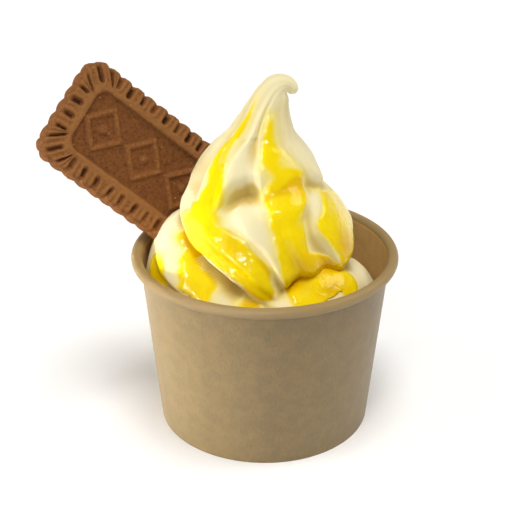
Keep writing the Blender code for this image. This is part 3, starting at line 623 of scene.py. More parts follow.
def frozen_yogurt(settings):
    """Soft-served frozen yogurt: cream white, with painted shade that makes it darker and yellower in its
    hollows, and light going a little way in.

    The eye sees soft satin ridges, fine ice grain and a yellow bleed beside the sauce.
    """
    made, tree, shader = new_material(
        "frozen_yogurt", Roughness=0.5, IOR=1.35, Specular_IOR_Level=0.35, Subsurface_Weight=0.15,
        Subsurface_Scale=0.001, Subsurface_Radius=(1.0, 0.9, 0.45),
    )
    # Painted shade: the cream darkens to its shade colour deep between ridges and under folds
    ground = blend(tree, kept(tree, "hollow_shade"), solid(settings.cream), solid(settings.hollow_shade))
    stained = blend(tree, kept(tree, "soaked"), ground, solid(settings.stain))
    tree.links.new(stained, shader.inputs["Base Color"])
    ice = grain(tree, object_places(tree), size=0.6, detail=3.0)
    relief(tree, shader, ice, distance=0.09, strength=0.7)
    return made


def lemon_sauce(settings):
    """Lemon fruit sauce: a glossy yellow gel, paler where it is thin, with small ripples.

    The eye sees a clear lemon yellow, with painted amber shade where it pools in hollows and under folds,
    small sharp glints and edges that melt into the cream.
    """
    made, tree, shader = new_material(
        "lemon_sauce", Roughness=0.12, IOR=1.4, Specular_IOR_Level=0.5, Subsurface_Weight=0.15,
        Subsurface_Scale=0.001, Subsurface_Radius=(1.0, 0.7, 0.1),
    )
    ground = blend(tree, kept(tree, "thick"), solid(settings.thin), solid(settings.sauce))
    # Painted shade: the sauce turns amber where it pools and lies in shade
    coloured = blend(tree, kept(tree, "pooled_and_shaded"), ground, solid(settings.pooled_and_shaded))
    tree.links.new(coloured, shader.inputs["Base Color"])
    ripples = grain(tree, object_places(tree), size=1.8)
    relief(tree, shader, ripples, distance=0.2)
    return made


def baked_biscuit(settings):
    """Spiced shortcrust biscuit, moulded and baked: matt brown crumb, golden ribs, dark pressed slots.

    The eye sees a fine open crumb with pores, golden on every raised edge, with painted shade that darkens
    the slots and the pores.
    """
    made, tree, shader = new_material("baked_biscuit", Roughness=0.85, Specular_IOR_Level=0.2)
    places = object_places(tree)
    mottle = grain(tree, places, size=1.0, detail=5.0)
    uneven = worked_out(tree, "MULTIPLY_ADD", mottle, 0.8, -0.4)
    # Painted shade: darker towards a slot's depth, golden towards the face, by the kept height share
    level = worked_out(tree, "ADD", kept(tree, "raised"), uneven)
    low = blend(tree, fit_range(tree, level, 0.0, 0.45), solid(settings.pit_shade), solid(settings.crumb))
    high = blend(tree, fit_range(tree, level, 0.55, 0.95), low, solid(settings.golden))
    spacing = {"Vector": places, "Scale": per_mm(1.1)}
    pores = add(tree, "ShaderNodeTexVoronoi", spacing, feature="F1").outputs["Distance"]
    pore = fit_range(tree, pores, 0.05, 0.22, 0.55, 0.0)
    tree.links.new(blend(tree, pore, high, solid(settings.pit_shade)), shader.inputs["Base Color"])
    crumb = grain(tree, places, size=0.8, detail=4.0)
    relief(tree, shader, crumb, distance=0.4)
    return made


def melted_sugar(settings):
    """Caster sugar browned in the oven: small clear golden grains that catch the light."""
    made, tree, shader = new_material("melted_sugar", Roughness=0.25, IOR=1.5, Subsurface_Weight=0.2)
    shade = grain(tree, object_places(tree), size=3.0)
    browned = blend(tree, shade, solid(settings.sugar), solid(settings.sugar, 0.7))
    tree.links.new(browned, shader.inputs["Base Color"])
    return made


def matt_floor(settings):
    """White painted board: an even matt ground."""
    made, _, shader = new_material("matt_floor", Roughness=0.9)
    shader.inputs["Base Color"].default_value = solid(settings.floor)
    return made


def lumps(points, layers):
    """Smooth noise at points; layers are (size, height) in millimetres."""
    return np.array([sum(high * noise.noise(Vector(p) / size) for size, high in layers) for p in points])


def roughen(bm, layers):
    """Move each vertex along its normal by smooth noise."""
    bm.normal_update()
    for vert, lift in zip(bm.verts, lumps([v.co for v in bm.verts], layers)):
        vert.co += float(lift) * vert.normal


def linked(name, data):
    """An object for a mesh, a light or a camera, put in the scene."""
    obj = bpy.data.objects.new(name, data)
    bpy.context.scene.collection.objects.link(obj)
    return obj


def solid_object(bm, name, made):
    """Turn a bmesh into an object with a material, and free the bmesh."""
    mesh = bpy.data.meshes.new(name)
    bm.to_mesh(mesh)
    bm.free()
    mesh.materials.append(made)
    return linked(name, mesh)


def finish(bm, name, made, smooth_angle):
    """Turn a bmesh in millimetres round the cup's axis into a piece in metres in the object's frame."""
    bmesh.ops.translate(bm, vec=(CUP_AXIS_X, 0.0, 0.0), verts=bm.verts)
    bmesh.ops.scale(bm, vec=(MM, MM, MM), verts=bm.verts)
    bmesh.ops.recalc_face_normals(bm, faces=bm.faces)
    obj = solid_object(bm, name, made)
    obj.data.shade_smooth()
    obj.data.set_sharp_from_angle(angle=math.radians(smooth_angle))
    return obj


def turned(chain, steps, closed=False, turn=math.tau):
    """Spin a chain of (radius, height) points round the Z axis, a whole turn or part of one."""
    bm = bmesh.new()
    verts = [bm.verts.new((r, 0.0, z)) for r, z in chain]
    pairs = zip(verts, verts[1:] + verts[:1]) if closed else zip(verts, verts[1:])
    edges = [bm.edges.new(pair) for pair in pairs]
    whole = turn == math.tau
    bmesh.ops.spin(
        bm, geom=verts + edges, cent=(0, 0, 0), axis=(0, 0, 1), angle=turn, steps=steps, use_merge=whole,
    )
    bmesh.ops.remove_doubles(bm, verts=bm.verts, dist=MERGE)
    return bm


def wall_radius(z):
    """Outer radius of the cup's wall at a height."""
    return FOOT_RADIUS + WALL_TAPER * z


def wall_inside(z):
    """Inner radius of the cup's wall at a height."""
    return wall_radius(z) - PAPER


def hem_radius(z):
    """Outer radius of the folded hem, which holds the bottom's skirt between itself and the wall."""
    return wall_radius(z) - 2.0 * PAPER - 2.0 * FIT_GAP


def cup_profile():
    """Section of the wall: up the folded hem, up the inside, round the rolled rim and down the outside."""
    tube_r = RIM_RADIUS - RIM_TUBE
    tube_z = CUP_HEIGHT - RIM_TUBE
    start, end = RIM_ARC
    rim = []
    for i in range(RIM_PARTS + 1):
        a = math.radians(start + (end - start) * i / RIM_PARTS)
        rim.append((tube_r + RIM_TUBE * math.cos(a), tube_z + RIM_TUBE * math.sin(a)))
    heights = np.linspace(PAPER, WALL_TOP, WALL_RINGS)
    profile = [(wall_radius(0.0), 0.0), (hem_radius(0.0) - PAPER, 0.0)]
    profile += [(hem_radius(HEM_HEIGHT) - PAPER, HEM_HEIGHT), (hem_radius(HEM_HEIGHT), HEM_HEIGHT)]
    profile += [(hem_radius(PAPER), PAPER)]
    profile += [(wall_inside(z), z) for z in heights[:-1]]
    profile += rim
    profile += [(wall_radius(z), z) for z in heights[-2:0:-1]]
    return profile


def curve(stations, at, column=1):
    """Smooth curve through stations whose first value is the position and another the value."""
    table = np.array([[s[0], s[column]] for s in stations], float)
    table = table[np.argsort(table[:, 0])]
    x, y = table[:, 0], table[:, 1]
    step = np.diff(x)
    slope = np.diff(y) / step
    tangent = np.empty_like(x)
    tangent[0], tangent[-1] = slope[0], slope[-1]
    tangent[1:-1] = (slope[:-1] * step[1:] + slope[1:] * step[:-1]) / (step[:-1] + step[1:])
    at = np.clip(np.asarray(at, float), x[0], x[-1])
    i = np.clip(np.searchsorted(x, at, side="right") - 1, 0, len(step) - 1)
    t = (at - x[i]) / step[i]
    rise = t * t * (3.0 - 2.0 * t)
    return (
        (1.0 - rise) * y[i] + rise * y[i + 1]
        + (t**3 - 2.0 * t**2 + t) * step[i] * tangent[i]
        + (t**3 - t**2) * step[i] * tangent[i + 1]
    )


def ring(stations, angle, column=1):
    """The same, for stations by angle that go round the axis."""
    turns = [(s[0] + turn, *s[1:]) for turn in (-360, 0, 360) for s in stations]
    return curve(turns, angle, column)


def larger(a, b, blend_width):
    """The larger of two values, rounded where they cross."""
    return 0.5 * (a + b + np.sqrt((a - b) ** 2 + blend_width * blend_width))


def smooth(t):
    """0 to 1 with level ends."""
    t = np.clip(t, 0.0, 1.0)
    return t * t * (3.0 - 2.0 * t)


def progress(value, low, high):
    """Share of the way that a value has come from one limit to another, from 0 to 1."""
    return np.clip((value - low) / (high - low), 0.0, 1.0)


def tucked(z, edge, slope, roundness):
    """How far a turn draws in below its lower edge."""
    return larger(0.0, slope * (edge - z), roundness)


def valleys(ridges, depths, angle, z):
    """How deep the valleys between a turn's ridges are at an angle and a height; 0 on a ridge."""
    lines = [(curve(line, z), depth) for line, depth in ridges]
    total = np.zeros(np.broadcast(angle, z).shape)
    for turn in (-360, 0, 360):
        for i, (start, depth) in enumerate(lines):
            wrap = 360 if i == len(lines) - 1 else 0
            stop = lines[(i + 1) % len(lines)][0] + wrap
            part = (angle - start - turn) / (stop - start)
            inside = (part >= 0.0) & (part < 1.0)
            shape = depth * np.sin(math.pi * np.clip(part, 0.0, 1.0) ** VALLEY_LEAN) ** RIDGE_ROUND
            total = np.where(inside, shape, total)
    return curve(depths, z) * total


def contents_limit(angle, z, shift):
    """Distance from a centre set off sideways by shift to the cup's inside, less the fit gap."""
    inside = wall_inside(np.clip(z, 0.0, WALL_TOP)) - FIT_GAP
    return np.sqrt(inside**2 - (shift * np.cos(angle)) ** 2) - shift * np.sin(angle)


def swirl_turns(angle, z):
    """Radii of the three turns at an angle and a height, and how deep each one's valley is there."""
    top_valley = valleys(TOP_RIDGES, TOP_DEPTH, angle, z)
    fold = smooth((NECK - z) / TUCK_FADE)
    top_tuck = fold * tucked(z, ring(TOP_EDGE, angle), ring(TOP_EDGE, angle, 2), TOP_TUCK_ROUND)
    top = curve(TOP_TURN, z) - top_valley - top_tuck
    middle_valley = valleys(MIDDLE_RIDGES, MIDDLE_DEPTH, angle, z)
    middle_tuck = tucked(z, ring(MIDDLE_EDGE, angle), MIDDLE_UNDER, MIDDLE_TUCK_ROUND)
    lower = z - ring(MIDDLE_RISE, angle) * smooth(progress(z, *RISE_FROM))
    middle = curve(MIDDLE_TURN, lower) - middle_valley - middle_tuck
    t = np.clip((z - ring(COIL, angle, 1)) / ring(COIL, angle, 2), 0.0, None)
    round_top = np.where(t < 1.0, np.sqrt(np.clip(1.0 - t * t, 0.0, 1.0)), COIL_FALL * (1.0 - t))
    coil_valley = valleys(COIL_RIDGES, COIL_DEPTH, angle, z)
    coil = COIL_CORE + ring(COIL, angle, 3) * round_top - coil_valley
    return (top, middle, coil), (top_valley + top_tuck, middle_valley + middle_tuck, coil_valley)


def soft_spot(spot, angle, height, r):
    """Height of a soft round spot: its angle, height, half width, half height and greatest height."""
    at_angle, at_height, wide, high, most = spot
    across = np.radians((angle - at_angle + 180.0) % 360.0 - 180.0) * r
    return most * np.exp(-((across / wide) ** 2) - ((height - at_height) / high) ** 2)


def swirl_radius(angle, z):
    """Radius of the yogurt at an angle and a height, as three turns that press on each other."""
    (top, middle, coil), _ = swirl_turns(angle, z)
    fold = LEAST_BLEND + smooth((NECK - z) / TUCK_FADE) * ring(TOP_EDGE, angle, 3)
    r = larger(larger(top, middle, fold), coil, COIL_BLEND)
    for dent in DENTS:
        r = r + soft_spot(dent, angle, z, r)
    return r


def hollow_shade_share(angle, s):
    """Share of painted shade: 0 on ridges and swellings, towards 1 deep between ridges and under a fold."""
    z = np.minimum(s, NECK)
    radii, depths = swirl_turns(angle, z)
    outermost = np.argmax(np.stack(radii), 0)
    depth = np.choose(outermost, depths)
    around = sum(swirl_radius(angle + a, z + b) for a, b in HOLLOW_RING) / len(HOLLOW_RING)
    dip = around - swirl_radius(angle, z)
    fade = 1.0 - smooth(progress(s, NECK, TIP_END))
    return fade * smooth(depth / DEEP_VALLEY + np.clip(dip, *DIP_RANGE) / DEEP_DIP)


def patches(spots, angle, s):
    """Share of the strongest of some soft round spots."""
    r = swirl_radius(angle, np.minimum(s, NECK))
    return np.max([soft_spot(spot, angle, s, r) for spot in spots], axis=0)


def pool_and_shade_share(angle, s):
    """Share of painted amber shade: 0 where the sauce is a thin coat, up to 1 where it has gathered in
    hollows, under folds and at the listed pools.
    """
    deep = smooth(progress(hollow_shade_share(angle, s), POOL_SHADE_FROM, 1.0))
    return np.maximum(POOL_SHADE_MOST * deep, patches(POOLS_AND_SHADE, angle, s))


def sauce_cover(angle, s):
    """Distance from the sauce's nearest edge, positive where sauce lies, and its share of full colour."""
    r = swirl_radius(angle, np.minimum(s, NECK))
    wobble = lumps(swirl_points(angle, s), EDGE_WOBBLE)
    inside = np.full(len(angle), FAR_OUTSIDE)
    share = np.zeros(len(angle))
    for run in SAUCE_RUNS:
        left_edge, right_edge, soft_left, soft_right = (curve(run, s, column) for column in (1, 2, 3, 4))
        end = np.minimum(run[0][0] - s, s - run[-1][0]) + wobble
        left = np.minimum(np.radians(angle - left_edge) * r + wobble, end)
        right = np.minimum(np.radians(right_edge - angle) * r + wobble, end)
        inside = np.maximum(inside, np.minimum(left, right))
        from_left = smooth(left / np.maximum(soft_left, SHARPEST))
        from_right = smooth(right / np.maximum(soft_right, SHARPEST))
        share = np.maximum(share, from_left * from_right)
    return inside, share


def swirl_points(angle, s):
    """Points of the swirl's surface: s is the height up to the neck and then runs along the bent tip."""
    a = np.radians(angle)
    z = np.minimum(s, NECK)
    upper = progress(z, *TOP_BLEND)
    shift = upper * curve(TOP_TURN, z, 2) + (1.0 - upper) * curve(MIDDLE_TURN, z, 2)
    shift = shift * progress(z, *SHIFT_FADE)
    r = np.minimum(swirl_radius(angle, z), contents_limit(a, z, shift))
    low = np.stack([shift + r * np.sin(a), -r * np.cos(a), z + 0.0 * r], -1)
    t = np.maximum(s, NECK)
    x, height, lean, r = (curve(TIP, t, column) for column in (1, 2, 3, 4))
    lean = np.radians(lean)
    valley = valleys(TOP_RIDGES, TOP_DEPTH, angle, np.minimum(t, TIP_RIDGES_END))
    r = r - valley * r / NECK_RADIUS
    end = progress(t, TIP_ROUND_FROM, TIP_END)
    r = r * np.sqrt(1.0 - end * end)
    side = r * np.sin(a)
    high = np.stack([x + side * np.cos(lean), -r * np.cos(a), height - side * np.sin(lean)], -1)
    return np.where((s < NECK)[:, None], low, high)


def swirl_skin(angle, s, lift):
    """Points at a height above the swirl's lumpy surface, kept inside the cup."""
    points = swirl_points(angle, s)
    across = swirl_points(angle + PROBE_ANGLE, s) - swirl_points(angle - PROBE_ANGLE, s)
    up = swirl_points(angle, s + PROBE_HEIGHT) - swirl_points(angle, s - PROBE_HEIGHT)
    normal = np.cross(across, up)
    normal /= np.maximum(np.linalg.norm(normal, axis=1, keepdims=True), TINY)
    points = points + normal * (lift + lumps(points, LUMPS))[:, None]
    r = np.hypot(points[:, 0], points[:, 1])
    room = wall_inside(points[:, 2]) - 0.5 * FIT_GAP
    room = np.where(points[:, 2] < WALL_TOP, room, 2.0 * RIM_RADIUS)
    points[:, :2] *= np.minimum(1.0, room / np.maximum(r, TINY))[:, None]
    return points


def fine_grid(across, up):
    """A flat grid of quads, one unit wide and high, to be laid on a shape."""
    bm = bmesh.new()
    bmesh.ops.create_grid(bm, x_segments=across, y_segments=up, size=0.5)
    return bm


def grid_places(bm, across, up):
    """Column, row and layer of each vertex of such a grid."""
    spots = np.array([v.co for v in bm.verts])
    column = np.rint((spots[:, 0] + 0.5) * across).astype(int)
    row = np.rint((spots[:, 1] + 0.5) * up).astype(int)
    return column, row, np.rint(spots[:, 2]).astype(int)


def swirl_places(bm, heights):
    """Angle, height and layer of each vertex of a grid that is to be laid round the swirl."""
    column, row, layer = grid_places(bm, SWIRL_STEPS, len(heights) - 1)
    return 360.0 * column / SWIRL_STEPS - 180.0, heights[row], layer


def lay(bm, places, values):
    """Put the vertices in their places, keep named values on them, and join the seam and the poles."""
    for name, numbers in values.items():
        layer = bm.verts.layers.float.new(name)
        for vert, number in zip(bm.verts, numbers):
            vert[layer] = number
    for vert, place in zip(bm.verts, places):
        vert.co = place
    bmesh.ops.remove_doubles(bm, verts=bm.verts, dist=MERGE)
    bmesh.ops.holes_fill(bm, edges=[e for e in bm.edges if e.is_boundary], sides=0)
    bmesh.ops.recalc_face_normals(bm, faces=bm.faces)


def biscuit_turn():
    """Place and lean of the biscuit: its X axis runs to its free end and its Z axis out of its face."""
    rise, heading, roll = (math.radians(v) for v in (BISCUIT_RISE, BISCUIT_HEADING, BISCUIT_ROLL))
    out = Vector((math.cos(rise) * math.cos(heading), math.cos(rise) * math.sin(heading), math.sin(rise)))
    level = Vector((0, 0, 1)).cross(out).normalized()
    across = math.cos(roll) * level + math.sin(roll) * out.cross(level)
    face = across.cross(out)
    turn = Matrix((out, -across, face)).transposed().to_4x4()
    return Matrix.Translation(Vector(BISCUIT_CENTRE)) @ turn


def biscuit_edge():
    """Points round the biscuit's edge, mirrored about its long axis, that start at its free end.

    Gives arrays of x, y, outward x and y, and the distance along the edge in scallops.
    """
    half_x, half_y = BISCUIT_LENGTH / 2.0, BISCUIT_WIDTH / 2.0
    straight_y = BISCUIT_WIDTH - 2.0 * CORNER_RADIUS
    arc = 0.5 * math.pi * CORNER_RADIUS
    along = OUTLINE_LENGTH * (np.arange(BISCUIT_STEPS) + 0.5) / BISCUIT_STEPS
    quarter = np.minimum(along, OUTLINE_LENGTH - along)
    far = quarter > OUTLINE_LENGTH / 4.0
    near = np.where(far, OUTLINE_LENGTH / 2.0 - quarter, quarter)
    turn = np.clip((near - straight_y / 2.0) / CORNER_RADIUS, 0.0, math.pi / 2.0)
    run = np.clip(near - straight_y / 2.0 - arc, 0.0, None)
    x = half_x - CORNER_RADIUS + CORNER_RADIUS * np.cos(turn) - run
    y = np.minimum(near, straight_y / 2.0) + CORNER_RADIUS * np.sin(turn)
    sign_x = np.where(far, -1.0, 1.0)
    sign_y = np.where(along > OUTLINE_LENGTH / 2.0, -1.0, 1.0)
    scallop = (along + straight_y / 2.0) / OUTLINE_LENGTH * SCALLOPS
    return x * sign_x, np.minimum(y, half_y) * sign_y, np.cos(turn) * sign_x, np.sin(turn) * sign_y, scallop


def frame_line(x, y, out_x, out_y):
    """Points of the panel's outline, each opposite its own point of the edge."""
    panel_x = BISCUIT_LENGTH / 2.0 - BORDER_END
    panel_y = BISCUIT_WIDTH / 2.0 - BORDER_SIDE
    cx = np.clip(x, -panel_x + PANEL_CORNER, panel_x - PANEL_CORNER)
    cy = np.clip(y, -panel_y + PANEL_CORNER, panel_y - PANEL_CORNER)
    cornered = np.minimum(np.abs(out_x), np.abs(out_y)) > CORNER_SHARE
    cx = np.where(cornered, np.sign(out_x) * (panel_x - PANEL_CORNER), cx)
    cy = np.where(cornered, np.sign(out_y) * (panel_y - PANEL_CORNER), cy)
    return cx + out_x * PANEL_CORNER, cy + out_y * PANEL_CORNER


def round_ridge(away, half):
    """Height share of a round ridge, 1 along its middle and 0 from half its width outwards."""
    return np.sqrt(np.clip(1.0 - (away / half) ** 2, 0.0, 1.0))


def soft_ridge(away, half):
    """Height share of a ridge whose sides run out softly."""
    return np.exp(-((away / half) ** 2))


def lozenges(x, y):
    """Height share of the pressed ornament: a row of lozenge rings, each with a round boss."""
    share = np.zeros_like(x)
    for centre in (-LOZENGE_PITCH, 0.0, LOZENGE_PITCH):
        dx, dy = np.abs(x - centre), np.abs(y)
        across = (dx / LOZENGE_HALF_LENGTH + dy / LOZENGE_HALF_WIDTH - 1.0) * LOZENGE_TO_SIDE
        share = np.maximum(share, round_ridge(across, LOZENGE_RING))
        share = np.maximum(share, round_ridge(np.hypot(dx, dy), BOSS_RADIUS))
    return share


def edge_fall(edge):
    """How far the biscuit's rounded edge has fallen at a distance from its outline."""
    t = np.clip(1.0 - edge / EDGE_ROUND, 0.0, 1.0)
    return EDGE_ROUND * (1.0 - np.sqrt(1.0 - t * t))


def biscuit_face(edge, border, panel, scallop, x, y, slot_depth, rise):
    """Height of the moulded face.

    edge is the distance from the outline, border the width of the border there, panel the distance inside
    the frame line, and scallop the distance along the edge in scallops.
    """
    random = np.random.default_rng(SEED)
    number = np.floor(scallop + 0.5).astype(int)
    tables = random.uniform(-1.0, 1.0, (4, number.max() + 1))
    reach, wide, depth, lean = (table[number] for table in tables)
    pitch = OUTLINE_LENGTH / SCALLOPS
    lateral = (scallop - number) * pitch - PLACE_VARIES * lean - LEAN_VARIES * lean * (edge - LEAN_FROM)
    end = border - SLOT_SHORT + LENGTH_VARIES * reach
    away = np.hypot(lateral, np.clip(edge - end, 0.0, None))
    slot_half = SLOT_HALF_WIDTH + WIDTH_VARIES * wide
    slot = smooth((slot_half - away) / SLOT_SOFT)
    mouth = MOUTH_SHARE + (1.0 - MOUTH_SHARE) * smooth((edge - MOUTH_FROM) / MOUTH_WIDTH)
    top = BISCUIT_THICK / 2.0 - RIB_DROP
    z = top - slot_depth * (1.0 + DEPTH_VARIES * depth) * mouth * slot
    z = z + LIP_RISE * soft_ridge(away - slot_half - LIP_AWAY, LIP_HALF) * smooth(edge / RIB_SOFT)
    between = smooth((away - slot_half) / RIB_SOFT) * smooth((border - RIB_STAYS - edge) / RIB_SOFT)
    cord = CORD_RISE * soft_ridge(border - CORD_AWAY - edge, CORD_HALF)
    z = z - RIB_FALL * between + cord - edge_fall(edge)
    sunk = top - PANEL_DEEP * smooth(panel / PANEL_SLOPE) + rise * lozenges(x, y)
    return np.where(panel > 0.0, sunk, z)


def biscuit_stations():
    """Rings of the biscuit's mesh, from the middle of its back over the side to the middle of its face.

    Each is the share of the way from the edge to the frame line, the share of the way from there to the
    middle, and the level, from -1 at the back to 1 at the face.
    """
    middle = [(1.0, 1.0, -1.0), (1.0, 0.5, -1.0)]
    back = [(share, 0.0, -1.0) for share in BACK_SHARES]
    side = [(0.0, 0.0, level) for level in np.linspace(-1.0, 1.0, SIDE_LEVELS)]
    border = [(share, 0.0, 1.0) for share in np.linspace(0.0, 1.0, BORDER_RINGS)[1:] ** BORDER_CROWD]
    shares = [*PANEL_SHARES, *np.linspace(PANEL_FROM, 1.0, PANEL_RINGS)]
    return np.array(middle + back + side + border + [(1.0, share, 1.0) for share in shares])


def carve(obj, cutter):
    """Cut the cutter out of an object for good."""
    cut = obj.modifiers.new("pocket", "BOOLEAN")
    cut.operation = "DIFFERENCE"
    cut.solver = "MANIFOLD"
    cut.object = cutter
    graph = bpy.context.evaluated_depsgraph_get()
    carved = bpy.data.meshes.new_from_object(obj.evaluated_get(graph))
    obj.modifiers.clear()
    whole = obj.data
    obj.data = carved
    bpy.data.meshes.remove(whole)


def make_room(obj):
    """Cut the room that the biscuit takes up out of a piece, drawn in a little so that no gap shows."""
    bm = bmesh.new()
    bmesh.ops.create_cube(bm, size=1.0)
    sunk = 2.0 * (ROOM_OVERLAP + SCALLOP_DEPTH)
    size = (BISCUIT_LENGTH - sunk, BISCUIT_WIDTH - sunk, BISCUIT_THICK - 2.0 * ROOM_OVERLAP)
    bmesh.ops.scale(bm, vec=size, verts=bm.verts)
    upright = [e for e in bm.edges if e.verts[0].co.z * e.verts[1].co.z < 0.0]
    bmesh.ops.bevel(
        bm, geom=upright, offset=ROOM_CORNER, offset_type="OFFSET", affect="EDGES", segments=ROOM_SEGMENTS,
        profile=0.5, material=-1,
    )
    bmesh.ops.transform(bm, matrix=biscuit_turn(), verts=bm.verts)
    room = finish(bm, "pocket", None, ROOM_SMOOTH)
    carve(obj, room)
    bpy.data.objects.remove(room)


def make_lap(width, thickness):
    """The wall's overlapping paper: it stands out at one side and runs out to nothing at the other."""
    turn = width / WALL_TOP_RADIUS
    heights = np.linspace(LAP_FOOT, WALL_TOP, WALL_RINGS)
    chain = [(wall_radius(z) - LAP_SUNK, z) for z in heights]
    chain += [(wall_radius(z) + thickness, z) for z in heights[::-1]]
    bm = turned(chain, LAP_STEPS, closed=True, turn=turn)
    for vert in bm.verts:
        share = math.atan2(vert.co.y, vert.co.x) / turn
        under = wall_radius(vert.co.z)
        over = math.hypot(vert.co.x, vert.co.y) - under
        if over > 0.0:
            flat = (under + over * (1.0 - share)) / (under + over)
            vert.co.x *= flat
            vert.co.y *= flat
    bmesh.ops.holes_fill(bm, edges=[e for e in bm.edges if e.is_boundary], sides=0)
    place = Matrix.Rotation(math.radians(LAP_ANGLE - 90.0), 3, "Z")
    bmesh.ops.rotate(bm, cent=(0, 0, 0), matrix=place, verts=bm.verts)
    return bm


class SundaeMaker:
    """What every operator of this add-on shares."""

    bl_options = {"REGISTER", "UNDO"}


class SUNDAE_OT_cup_wall(SundaeMaker, bpy.types.Operator):
    """Build the paper wall with its rolled rim, folded hem and the lap where its sheet overlaps"""

    bl_idname = "sundae.cup_wall"
    bl_label = "Cup Wall"

    def execute(self, context):
        cup = context.scene.sundae_cup
        paper = kraft_board("kraft_paper", cup.paper, cup.paper_dark, PAPER_ROUGHNESS)
        wall = finish(turned(cup_profile(), CUP_STEPS, closed=True), "cup_wall_paper", paper, CUP_SMOOTH)
        # Painted light: lighter paper on the wall's inner side for the light that reaches in there
        clouds = [INSIDE_CLOUDS * v for v in cup.inside]
        inside = kraft_board("kraft_paper_inside_painted_light", cup.inside, clouds, PAPER_ROUGHNESS)
        wall.data.materials.append(inside)
        for face in wall.data.polygons:
            out = Vector((face.center.x - CUP_AXIS_X * MM, face.center.y, 0.0)).normalized()
            if face.normal.dot(out) < -INSIDE_FACING and HEM_HEIGHT < face.center.z / MM < WALL_TOP:
                face.material_index = 1
        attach(wall, "root")
        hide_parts("cup_wall")
        lap = finish(make_lap(cup.lap_width / MM, cup.lap_thickness / MM), "cup_lap", paper, LAP_SMOOTH)
        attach(lap, "root")
        return {"FINISHED"}


class SUNDAE_OT_cup_base(SundaeMaker, bpy.types.Operator):
    """Give the cup's bottom disc its board"""

    bl_idname = "sundae.cup_base"
    bl_label = "Cup Base"

    def execute(self, context):
        cup = context.scene.sundae_cup
        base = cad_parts["cup_base"]
        board = kraft_board("kraft_board", cup.board, cup.paper_dark, BOARD_ROUGHNESS)
        base.data.materials.clear()
        base.data.materials.append(board)
        return {"FINISHED"}


class SUNDAE_OT_yogurt(SundaeMaker, bpy.types.Operator):
    """Build the swirl of frozen yogurt, with its ridges, folds and bent tip"""

    bl_idname = "sundae.yogurt"
    bl_label = "Frozen Yogurt"

    def execute(self, context):
        settings = context.scene.sundae_yogurt
        shown = np.arange(SHOWN_FROM, NECK, SHOWN_STEP)
        heights = np.concatenate([HIDDEN_RINGS, shown, np.arange(NECK, TIP_END, TIP_STEP), [TIP_END]])
        bm = fine_grid(SWIRL_STEPS, len(heights) - 1)
        angle, height, _ = swirl_places(bm, heights)
        inside, _ = sauce_cover(angle, height)
        soaked = np.exp(-np.clip(-inside, 0.0, None) / (settings.stain_reach / MM))
        # Painted shade between ridges, under folds and at the listed spots of painted shade
        hollow_shade = np.maximum(hollow_shade_share(angle, height), patches(PAINTED_SHADE_SPOTS, angle, height))
        lay(bm, swirl_skin(angle, height, 0.0 * height), {"hollow_shade": hollow_shade, "soaked": soaked})
        yogurt = finish(bm, "yogurt", frozen_yogurt(settings), YOGURT_SMOOTH)
        make_room(yogurt)
        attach(yogurt, "root")
        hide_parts("yogurt_swirl")
        return {"FINISHED"}


class SUNDAE_OT_sauce(SundaeMaker, bpy.types.Operator):
    """Build the lemon sauce that runs down the swirl, a thin closed layer on the yogurt"""

    bl_idname = "sundae.sauce"
    bl_label = "Lemon Sauce"

    def execute(self, context):
        settings = context.scene.sundae_sauce
        edge = settings.edge / MM
        sunk = settings.sunk / MM
        thickness = settings.thickness / MM
        highest = max(run[0][0] for run in SAUCE_RUNS)
        lowest = min(run[-1][0] for run in SAUCE_RUNS)
        heights = np.arange(lowest - SHOWN_STEP, highest + SHOWN_STEP, SHOWN_STEP)
        bm = fine_grid(SWIRL_STEPS, len(heights) - 1)
        angle, height, _ = swirl_places(bm, heights)
        inside, _ = sauce_cover(angle, height)
        dry = {v for v, depth in zip(bm.verts, inside) if depth < -EDGE_MARGIN}
        bmesh.ops.delete(bm, geom=[f for f in bm.faces if dry.intersection(f.verts)], context="FACES")
        loose = [v for v in bm.verts if not v.link_faces]
        bmesh.ops.delete(bm, geom=loose, context="VERTS")
        outer = bmesh.ops.extrude_face_region(bm, geom=list(bm.faces))["geom"]
        raised = [v for v in outer if isinstance(v, bmesh.types.BMVert)]
        bmesh.ops.translate(bm, vec=(0.0, 0.0, 1.0), verts=raised)
        angle, height, layer = swirl_places(bm, heights)
        inside, share = sauce_cover(angle, height)
        t = np.clip(inside / edge, 0.0, 1.0)
        rise = EDGE_STEP * np.minimum(EDGE_STEEP * t, 1.0) + (1.0 - EDGE_STEP) * smooth(t)
        above = np.where(inside > 0.0, thickness * rise, EDGE_DIP * inside)
        lift = np.where(layer == 1, above, -sunk)
        # Share of painted amber shade, kept on the sauce
        values = {"thick": share, "pooled_and_shaded": share * pool_and_shade_share(angle, height)}
        lay(bm, swirl_skin(angle, height, lift), values)
        sauce = finish(bm, "lemon_sauce", lemon_sauce(settings), SAUCE_SMOOTH)
        make_room(sauce)
        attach(sauce, "root")
        return {"FINISHED"}


